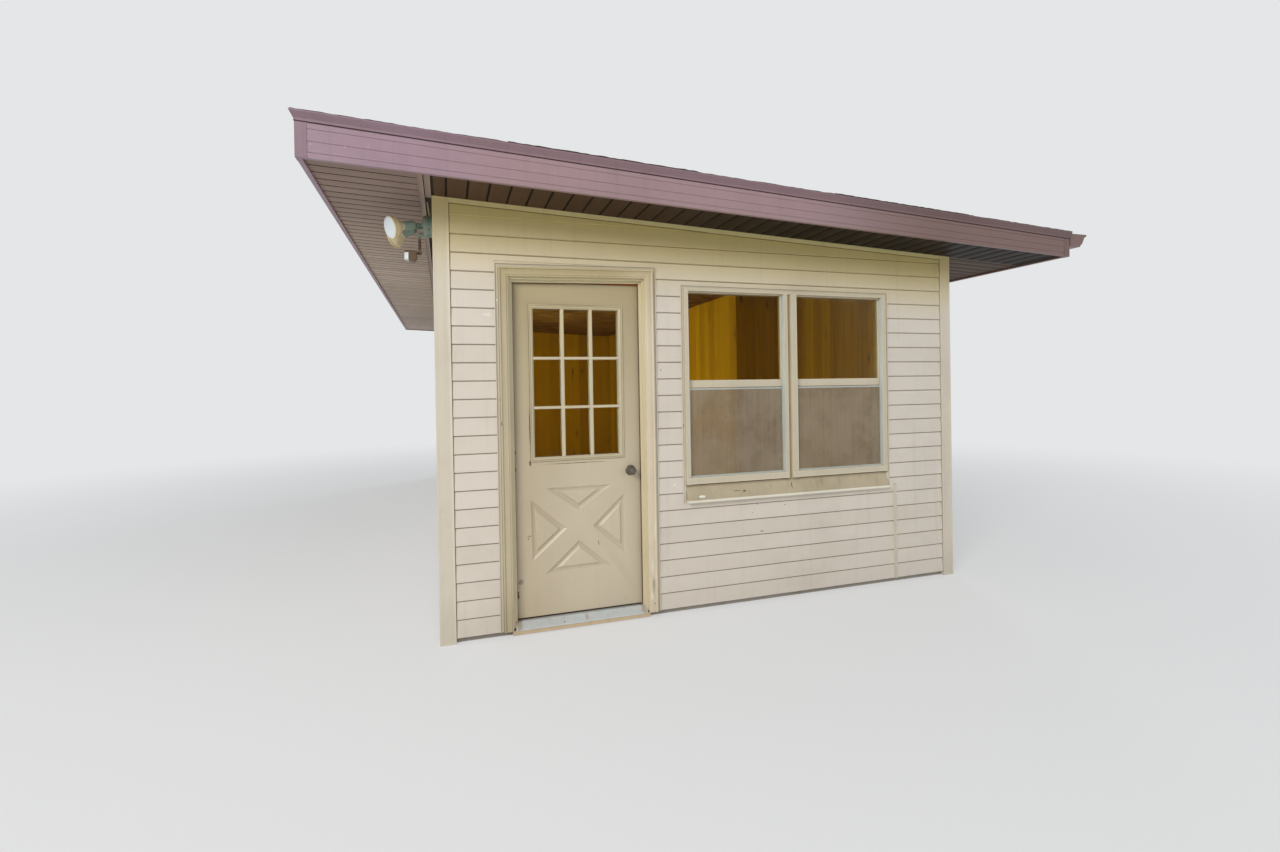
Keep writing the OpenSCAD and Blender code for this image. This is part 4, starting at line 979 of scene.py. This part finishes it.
CASING_STEPS = ((0.009, 0.0), (0.003, 0.0065), (0.031, -0.003), (0.002, 0.0035), (0.01, 0.0))
casing = surround("door_casing_moulding", (door_side[0], -0.026, -0.4), (door_side[1], 0.0, CASING_TOP), CASING_STEPS,
                  HEAD_RISE, rest["door_casing"][0].z)
round_edges(casing, 0.0012, 1, 50)
finish(gather_dirt_and_shade(casing), "painted_wood", "casing_coat", "door_casing")

STOPS, STOP_TOP = (0.4265, 1.2135), 2.084
seal = surround("door_weatherstrip", (STOPS[0] - 0.0005, 0.0335, -0.4), (STOPS[1] + 0.0005, 0.0425, STOP_TOP + 0.0005),
                ((0.0012, -0.0005), (0.002, 0.0008)), HEAD_RISE, 0.082)
finish(seal, "painted_wood", "seal_rubber")
head_gap = block("door_head_gap", (0.418, 0.0425, 2.095), (1.219, 0.085, 2.0982))
edit(head_gap)
pick(head_gap, "VERT", lambda at, n: at.x > 0.8 and at.z > 2.097)
move(z=0.0185)
done()
round_edges(head_gap, 0.0004, 1)
finish(head_gap, "painted_wood", "head_gap_paint")

LEAF_LOW, LEAF_HIGH = (0.4175, 0.045, 0.075), (1.2195, 0.09, 2.092)
LITE = (0.5485, 1.0815, 1.0365, 1.9345)
LITE_EDGE, MUNTIN, LEVEL = 0.0245, 0.0205, 0.017
BUCKS = (
    ((0.604, 0.848), (0.812, 0.698), (1.025, 0.846)), ((0.516, 0.786), (0.523, 0.41), (0.736, 0.594)),
    ((1.107, 0.788), (0.896, 0.594), (1.109, 0.398)), ((0.598, 0.326), (1.022, 0.33), (0.81, 0.517)),
)


def around_lite(beside, front, back, under=None, over=None):
    """Corners of a block that reaches past the lite on each side."""
    under, over = beside if under is None else under, beside if over is None else over
    return (LITE[0] - beside, front, LITE[2] - under), (LITE[1] + beside, back, LITE[3] + over)


def triangle(name, points, near, far, inside, spread):
    """A three-sided block whose sides slope: it stands inside the triangle at its near face and spreads with depth."""
    corners = [Vector((x, 0, z)) for x, z in points]
    middle = sum(corners, Vector()) / 3
    piece = block(name, (0.45, near, 0.3), (1.17, far, 0.9))
    for start, end in zip(corners, corners[1:] + corners[:1]):
        away = (end - start).normalized().cross(Vector((0, 1, 0)))
        if away.dot(middle - start) > 0:
            away = -away
        at = start - away * inside
        cut(piece, (at.x, near, at.z), away - Vector((0, spread / (far - near), 0)))
    return piece


BUCK_DEEP, BUCK_OUTER, BUCK_FIELD, BUCK_INNER = 0.0115, 0.016, 0.037, 0.018
face, back = LEAF_LOW[1], LEAF_HIGH[1]
leaf = block("door_leaf_skin", LEAF_LOW, LEAF_HIGH)
carve(leaf, block("lite_hole", *around_lite(0.0, 0.03, 0.11)))
for points in BUCKS:
    carve(leaf, triangle("groove", points, face - 0.001, face + BUCK_DEEP, -0.001, -BUCK_OUTER))
    carve(leaf, triangle("groove", points, back - BUCK_DEEP, back + 0.001, BUCK_OUTER, BUCK_OUTER))
fields = []
for points in BUCKS:
    fields += [triangle("field", points, face - 0.0005, face + BUCK_DEEP + 0.001, BUCK_FIELD, BUCK_INNER),
               triangle("field", points, back - BUCK_DEEP - 0.001, back + 0.0005, BUCK_FIELD - BUCK_INNER, -BUCK_INNER)]
for piece in (leaf, *fields):
    round_edges(piece, 0.0012, 2, 25)
leaf = join([leaf] + fields)
smooth(leaf)
finish(gather_dirt_and_shade(leaf), "door_paint", "door_coat", "door_leaf", body="door")
# A dark strip over the foot of the door's face: the sweep, and a painted shadow for the gap under the door
sweep_and_gap_shade = bar("door_sweep_gap_shade", (LEAF_LOW[0] + 0.01, 0.0446, LEAF_LOW[2] - 0.0005),
            (LEAF_HIGH[0] - 0.01, 0.0885, LEAF_LOW[2] + 0.005), 0.001)
finish(sweep_and_gap_shade, "door_paint", "sweep_rubber_and_gap_shade", body="door")
# A dark gasket on the threshold, also a painted shadow for the gap under the door
gasket_and_gap_shade = bar("threshold_gasket_gap_shade", (DOORWAY[0] + 0.006, 0.05, 0.0615), (DOORWAY[1] - 0.006, 0.084, 0.0694), 0.002,
             (0.004, 0.002), (0, 0, 1))
finish(gasket_and_gap_shade, "threshold", "sweep_rubber_and_gap_shade")

LITE_STEPS = ((0.003, -0.0005), (0.003, 0.003), (0.008, -0.0015), (0.0055, 0.004), (0.005, 0.0035))
pane_wide, pane_high = (LITE[1] - LITE[0]) / 3, (LITE[3] - LITE[2]) / 3
lite_parts = [surround("door_lite_moulding", *around_lite(LITE_EDGE, 0.037, 0.0465), LITE_STEPS),
              surround("lite", *around_lite(LITE_EDGE, 0.089, 0.098), ((LITE_EDGE, 0.0),))]
round_edges(lite_parts[1], 0.003)
for y0, y1 in ((0.0425, 0.064), (0.071, 0.0925)):
    upright = bar("lite", (LITE[0] + pane_wide - MUNTIN / 2, y0, LITE[2] - 0.002),
                  (LITE[0] + pane_wide + MUNTIN / 2, y1, LITE[3] + 0.002), 0.003)
    level = bar("lite", (LITE[0] - 0.002, y0 + 0.0005, LITE[2] + pane_high - LEVEL / 2),
                (LITE[1] + 0.002, y1 + 0.0005, LITE[2] + pane_high + LEVEL / 2), 0.003)
    lite_parts += [upright, copy(upright, "lite", x=pane_wide), level, copy(level, "lite", z=pane_high)]
finish(gather_dirt_and_shade(join(lite_parts)), "door_paint", "lite_coat", "door_lite_frame", body="door")
# A dark ring round the lite moulding, where it meets the door: dirt and painted shade
seam_shade_box = around_lite(LITE_EDGE + 0.0022, 0.0437, 0.046, LITE_EDGE + 0.0024, LITE_EDGE + 0.0018)
seam_shade = surround("door_lite_seam_shade", *seam_shade_box, ((0.003, 0.0),))
finish(seam_shade, "door_paint", "seam_dirt_and_shade", body="door")
finish(bar("door_panes", *around_lite(0.001, 0.0655, 0.0695), 0.0006), "glass", "pane", "door_glass", body="door")

KNOB, ROSE_FACES = (1.1475, 0.927), ((0.0445, -1), (0.0905, 1))
ROSE = ((0.0, 0.033), (0.0035, 0.033), (0.006, 0.031), (0.007, 0.027), (0.0055, 0.0255), (0.0065, 0.022),
        (0.009, 0.017), (0.01, 0.0135))
# The knob's rings, each with its distance back from the knob's end
KNOB_RINGS = ((0.04, 0.0115), (0.036, 0.0135), (0.032, 0.0225), (0.026, 0.0258), (0.016, 0.026), (0.008, 0.0245),
              (0.004, 0.0215), (0.005, 0.0195), (0.0035, 0.0165), (0.0045, 0.0145), (0.002, 0.01), (0.0003, 0.006),
              (0.0, 0.0025))
roses = [lathe("door_rose_plates", ROSE, (KNOB[0], y, KNOB[1]), (0, way, 0)) for y, way in ROSE_FACES]
finish(gather_dirt_and_shade(join(roses)), "knob_metal", "knob_metal", "door_roses", body="door")
knobs = []
for (y, way), end in zip(ROSE_FACES, rest["door_knob"]):
    out = way * (end.y - corner.y - y)
    rings = ((0.002, 0.0115), *((out - short, radius) for short, radius in KNOB_RINGS))
    knobs.append(lathe("door_knob_turned", rings, (KNOB[0], y, KNOB[1]), (0, way, 0)))
finish(gather_dirt_and_shade(join(knobs)), "knob_metal", "knob_metal", "door_knob", body="knob")

# ------ windows

HEAD_IN, MEETING, FRAME_OUT, FRAME_BACK, STILE_BACK = 2.066, (1.44, 1.49), 0.022, 0.106, 0.042
UPPER, LOWER, SASH_IN = (0.0115, 0.0375), (0.045, 0.069), 0.003
# Lower sash: its opening's foot and head, and its stiles' width; then the upper sash's bead and the tracks' foot
SASH_FOOT, SASH_HEAD, STILE, BEAD, TRACK_FOOT = 0.864, 1.447, 0.018, 0.006, 0.852
UNITS = ((WINDOW[0], 2.263, 1.533, 2.237), (2.293, WINDOW[1], 2.335, 3.043))
parts = {name: [] for name in ("frame", "track", "sash", "pane", "screen", "cloth")}


def add(kind, x, y, z, rounding, step=None):
    """Adds a bar of a window, given by its run along each axis."""
    parts[kind].append(bar(kind, (x[0], y[0], z[0]), (x[1], y[1], z[1]), rounding, step))


add("frame", WINDOW, (-FRAME_OUT, FRAME_BACK), (HEAD_IN, WINDOW_HEAD), 0.0025, (0.006, 0.002))
for outer_l, outer_r, inner_l, inner_r in UNITS:
    l, r, middle = inner_l + SASH_IN, inner_r - SASH_IN, (inner_l + inner_r) / 2
    for x in ((outer_l, inner_l), (inner_r, outer_r)):
        add("frame", x, (-FRAME_OUT, STILE_BACK), (0.812, HEAD_IN), 0.0025, (0.006, 0.002))
    add("frame", (outer_l + 0.004, outer_r - 0.004), (-0.0265, 0.03), (0.818, 0.8605), 0.003, (0.008, 0.002))
    for x, way in ((inner_l, 1), (inner_r, -1)):
        add("track", sorted((x - way * 0.001, x + way * 0.0025)), (-0.016, STILE_BACK), (TRACK_FOOT, HEAD_IN), 0.0006)
        for y, deep in ((-0.0145, 0.0042), (0.0085, 0.0036)):
            add("track", sorted((x, x + way * deep)), (y, y + 0.0018), (TRACK_FOOT, HEAD_IN), 0.0006)
    add("sash", (l, r), UPPER, MEETING, 0.004, (0.01, 0.002))
    add("sash", (l, r), UPPER, (HEAD_IN - 0.0065, HEAD_IN - 0.0005), 0.0015)
    for x in ((l, l + BEAD), (r - BEAD, r)):
        add("sash", x, UPPER, (MEETING[1], HEAD_IN - BEAD), 0.0015)
    add("pane", (inner_l + BEAD, inner_r - BEAD), (0.0225, 0.0265), (MEETING[1] - BEAD, HEAD_IN - 0.004), 0.0006)
    add("sash", (l, r), LOWER, (0.822, SASH_FOOT), 0.004, (0.01, 0.002))
    add("sash", (l, r), LOWER, (SASH_HEAD, 1.489), 0.003)
    for x in ((l, l + STILE), (r - STILE, r)):
        add("sash", x, LOWER, (SASH_FOOT, SASH_HEAD), 0.003)
    add("pane", (inner_l + STILE, inner_r - STILE), (0.055, 0.059), (0.858, 1.453), 0.0006)
    parts["screen"].append(surround("screen", (inner_l + 0.003, -0.004, 0.8605), (inner_r - 0.003, 0.0045, 1.437),
                                    ((0.003, 0.0), (0.002, 0.002), (0.005, 0.0))))
    add("screen", (middle - 0.012, middle + 0.012), (-0.007, -0.003), (0.866, 0.87), 0.001)
    add("cloth", (inner_l + 0.011, inner_r - 0.011), (0.0005, 0.0012), (0.869, 1.429), 0.0002)
    parts["sash"].append(lathe("sash", ((0.0, 0.012), (0.004, 0.012), (0.006, 0.009), (0.013, 0.008), (0.015, 0.005)),
                               (middle, 0.069, 1.47), (0, 1, 0), 20))
liners = [bar("window_room_liners", (x, STILE_BACK - 0.002, 0.79), (x + 0.018, FRAME_BACK, HEAD_IN + 0.004), 0.002)
          for x in (WINDOW[0] + 0.0005, 2.26, 2.278, WINDOW[1] - 0.0185)]
filler = bar("window_groove_filler", (2.2625, -0.007, 0.803), (2.2935, STILE_BACK, HEAD_IN + 0.001), 0.001,
             (0.004, 0.003))
sill_ends = (WINDOW[0] + 0.0005, WINDOW[1] - 0.0005)
sill_board = block("window_sill_boards", (sill_ends[0], -0.036, 0.7165), (sill_ends[1], FRAME_BACK, 0.8175))
cut(sill_board, (0, 0.004, 0.8175), (0, -0.1015, 0.038))
round_edges(sill_board, 0.002)
sill_lip = bar("sill", (sill_ends[0], -0.0455, 0.7005), (sill_ends[1], FRAME_BACK, 0.7175), 0.003)
for pieces, name, slot, coat, *nodes in (
        (parts["frame"], "window_frame_boards", "trim", "window_coat", "window_frames"),
        (parts["track"], "window_jamb_tracks", "screen", "track_metal"),
        (parts["sash"], "window_sash_rails", "trim", "window_coat", "window_sashes"),
        (parts["pane"], "window_panes", "glass", "pane", "window_glass"),
        (parts["screen"], "screen_frames", "screen", "track_metal", "window_screens"),
        (parts["cloth"], "screen_cloth", "screen", "screen_mesh"),
        ([filler], "window_groove_filler", "trim", "groove_coat"),
        (liners, "window_room_liners", "trim", "room_pine"),
        ([sill_board], "window_sill_boards", "trim", "sill_paint", "window_sills"),
        ([sill_lip], "window_sill_lips", "trim", "lip_coat")):
    whole = join(pieces, name)
    finish(gather_dirt_and_shade(join([whole, on_lake_side(whole, "lake")])), slot, coat, *nodes)

# ------ floodlight

# Each lamp: its place along the wall, its turn towards the front and its tilt down
LAMPS = (("front_lamp", 0.12, 30, 16), ("rear_lamp", 0.18, -26, 19))
HOLDER = [(0.016, 0.0125), (0.02, 0.016), (0.024, 0.0225), (0.031, 0.026)]
for k in range(5):
    HOLDER += [(near + k * 0.011, radius)
               for near, radius in ((0.034, 0.026), (0.037, 0.0238), (0.04, 0.0238), (0.043, 0.026))]
HOLDER += [(0.091, 0.026), (0.095, 0.0232)]
REFLECTOR = ((0.092, 0.0225), (0.101, 0.0235), (0.108, 0.029), (0.114, 0.0355), (0.122, 0.0425), (0.13, 0.0485),
             (0.139, 0.0545), (0.147, 0.059), (0.155, 0.062), (0.163, 0.0632))
RIM = ((0.159, 0.0625), (0.161, 0.0645), (0.166, 0.0648), (0.171, 0.0638), (0.173, 0.06))
LENS = ((0.17, 0.0605), (0.1735, 0.06), (0.176, 0.056), (0.1785, 0.048), (0.1805, 0.036), (0.182, 0.023),
        (0.183, 0.008))
KNUCKLES = ((-0.0004, 0.011), (-0.0098, 0.011)), ((-0.0098, 0.0055), (-0.0128, 0.005))
for lamp, y, turn, tilt in LAMPS:
    turn, tilt = math.radians(turn), math.radians(tilt)
    out = Vector((-math.cos(tilt) * math.cos(turn), -math.cos(tilt) * math.sin(turn), -math.sin(tilt)))
    pivot = Vector((-0.092, y, 2.413))
    pin = Vector((math.sin(turn), -math.cos(turn), 0)) * (-1 if turn > 0 else 1)
    knuckle = [lathe("knuckle", shape, pivot, pin, 24) for shape in KNUCKLES]
    holder = [lathe("holder", HOLDER, pivot, out, 32), lathe("arm", ((0.004, 0.0085), (0.018, 0.0085)), pivot, out, 20)]
    finish(gather_dirt_and_shade(join(holder + knuckle, lamp + "_holder")), "light_box", "box_coat", lamp, body=lamp + "_head")
    for part, shape, coat in (("_reflector", REFLECTOR, "lamp_back"), ("_rim", RIM, "lamp_rim"),
                              ("_lens", LENS, "lamp_glass")):
        finish(lathe(lamp + part, shape, pivot, out, 48), "lamp", coat, body=lamp + "_head")

sensor = Vector((-0.085, 0.15, 2.262))
near, far, half = 0.015, 0.062, 0.031


def by_sensor(x, y, z):
    return sensor + Vector((x, y, z))


shell = block("sensor_shell", by_sensor(-far, -half, -0.066), by_sensor(-near, half, 0.002))
for normal in ((0.022, 0, -0.013), (-0.006, 0, -0.034)):
    cut(shell, by_sensor(-near - 0.013, 0, -0.06), normal)
edit(shell)
pick(shell, "FACE", lambda at, n: n.x < -ALIGNED)
inset(0.004)
move(x=0.003)
done()
round_edges(shell, 0.003)
collar = lathe("sensor", ((0.0003, 0.0085), (0.003, 0.0105), (0.015, 0.0105), (0.018, 0.009)), sensor, (0, 0, -1), 24)
lug = bar("sensor", by_sensor(-near - 0.002, -0.006, -0.016), by_sensor(0, 0.006, -0.004), 0.0015)
brow = bar("sensor", by_sensor(-far - 0.02, -half, -0.003), by_sensor(-far + 0.004, half, 0.002), 0.002)
finish(gather_dirt_and_shade(join([shell, collar, lug, brow])), "sensor", "sensor_plastic", "motion_sensor",
       body="sensor_head")
eye = lathe("sensor_eye", ((-0.05, 0.0245), (-0.049, 0.0262), (-0.046, 0.0268), (-0.011, 0.0268), (-0.009, 0.0255)),
            by_sensor(-far + 0.004, 0, 0), (0, 0, 1), 32)
cut(eye, by_sensor(-far + 0.003, 0, 0), (1, 0, 0))
finish(eye, "sensor", "sensor_lens", body="sensor_head")

# ------ boards inside

PINE_PITCH, PINE_T = 0.133, 0.011
OVER_FRAME, UNDER_FRAME = 2.137, 0.74


def pine_boards(side, a, b, low=FLOOR, high=None, out=-WALL, way=-1):
    """Upright boards with a groove at each joint, over one stretch of a wall's inner face."""
    near, far = (out - PINE_T, out + 0.001) if way < 0 else (out - 0.001, out + PINE_T)
    top = high or SOFFIT_LINE[0] + 0.05
    board = block("room_boards", *on_wall(side, a, a + PINE_PITCH, near, far, low, top))
    edit(board)
    pick(board, "EDGE", lambda at, run: abs(run.z) > ALIGNED and (beyond(side, at) - (near + far) / 2) * way > 0)
    bpy.ops.mesh.bevel(offset=0.005, segments=1)
    done()
    along = Vector((1, 0, 0) if WALLS[side][0] else (0, 1, 0))
    repeat(board, math.ceil((b - a) / PINE_PITCH - 0.001), along * PINE_PITCH)
    cut(board, along * b, along)
    if not high:
        trim(board, SOFFIT_LINE, SOFFIT_UP + SOFFIT_T - 0.002)
    return board


IN = WALL + PINE_T
DOOR_JAMB = (DOORWAY[0] - 0.019, DOORWAY[1] + 0.019)
room = [pine_boards(*stretch) for stretch in (
    ("front", WALL, DOOR_JAMB[0]), ("front", *DOOR_JAMB, OVER_FRAME), ("front", DOOR_JAMB[1], WINDOW[0]),
    ("front", *WINDOW, WINDOW_HEAD), ("front", *WINDOW, FLOOR, UNDER_FRAME), ("front", WINDOW[1], WIDTH - WALL),
    ("lake", IN, LAKE_WINDOW[0]), ("lake", *LAKE_WINDOW, WINDOW_HEAD), ("lake", *LAKE_WINDOW, FLOOR, UNDER_FRAME),
    ("lake", LAKE_WINDOW[1], DEPTH - WALL), ("hill", IN, STORE_Y - PINE_T), ("back", IN, STORE_X - PINE_T),
    ("front", STORE_X - PINE_T, WIDTH - IN, FLOOR, None, -STORE_Y, 1),
    ("lake", STORE_Y, DEPTH - IN, FLOOR, None, -STORE_X, 1))]
finish(join(room), "pine_boards", "room_pine")

# ------ stage, light and camera

BACKDROP = (0.78, 0.79, 0.8, 1)


def seen_ray(tree):
    """1 for what the camera, a reflection or a look through glass sees."""
    rays = tree.nodes.new("ShaderNodeLightPath").outputs
    camera, glossy, through = (Value(rays["Is %s Ray" % kind]) for kind in ("Camera", "Glossy", "Transmission"))
    return maths("MAXIMUM", camera, maths("MAXIMUM", glossy, through))


choose()
bpy.ops.mesh.primitive_plane_add(size=90, location=(0, 0, 0))
floor = named("floor")
settle()
_, spot = finish_called("floor_paint", Roughness=0.9, Base_Color=(0.86, 0.86, 0.85, 1))
fade = between(vectors("LENGTH", spot, output="Value"), 3.0, 12.0, 0.45, 1.0)
show(fade * seen_ray(spot.tree), own_look(spot.tree), node(spot.tree, "Emission", {"Color": BACKDROP}))
floor.data.materials.append(coats["floor_paint"])

world = bpy.data.worlds.new("studio")
bpy.context.scene.world = world
world.use_nodes = True
seen = seen_ray(world.node_tree)
feed(world.node_tree.nodes["Background"].inputs, {"Color": mix(seen, (0.84, 0.87, 0.92, 1), BACKDROP),
                                                  "Strength": between(seen, 0, 1, 0.46, 1.0)})


def soft_light(name, at, aim, size, watts, colour):
    choose()
    bpy.ops.object.light_add(type="AREA", location=at)
    lamp = bpy.context.object
    lamp.name = name
    lamp.data.size, lamp.data.energy, lamp.data.color = size, watts, colour
    # Left on, the panes would mirror it as a haze
    lamp.visible_glossy = name != "fill"
    lamp.rotation_euler = (Vector(aim) - Vector(at)).to_track_quat("-Z", "Y").to_euler()


FRONT, ROOM_LIGHT = (0.0, -3.0, 1.2), (1.0, 0.95, 0.74)
soft_light("key", (-8.0, -10.5, 6.2), FRONT, 3.6, 680, (1.0, 0.97, 0.92))
soft_light("fill", (7.0, -10.0, 3.0), FRONT, 6.0, 150, (0.92, 0.96, 1.0))
soft_light("rear", (9.5, 13.0, 5.5), (0.5, 3.0, 1.2), 5.0, 560, (0.96, 0.98, 1.0))
soft_light("lake_window_glow", place(0.3, 3.66, 1.45), place(2.9, 3.4, 1.5), 1.4, 36, ROOM_LIGHT)
soft_light("back_room_glow", place(1.3, 4.6, 1.9), place(1.6, 7.2, 1.4), 1.2, 4, ROOM_LIGHT)

PHOTO_WIDE, FOCAL, SHIFT = 1280, 594.91, -32.16
yaw, pitch, roll = math.radians(18.050), math.radians(-0.416), math.radians(0.978)
ahead = Vector((math.sin(yaw) * math.cos(pitch), math.cos(yaw) * math.cos(pitch), math.sin(pitch)))
side = Vector((math.cos(yaw), -math.sin(yaw), 0))
down = ahead.cross(side)
right = math.cos(roll) * side + math.sin(roll) * down
below = -math.sin(roll) * side + math.cos(roll) * down
choose()
bpy.ops.object.camera_add()
camera = bpy.context.object
camera.name = "camera"
camera.data.sensor_width = 36
camera.data.lens = FOCAL / PHOTO_WIDE * 36
camera.data.shift_y = SHIFT / PHOTO_WIDE
camera.matrix_world = (Matrix.Translation(place(0.0459, -3.5571, 1.4359))
                       @ Matrix((right, -below, -ahead)).transposed().to_4x4())
bpy.context.scene.camera = camera
bpy.context.scene.view_settings.view_transform = "Standard"
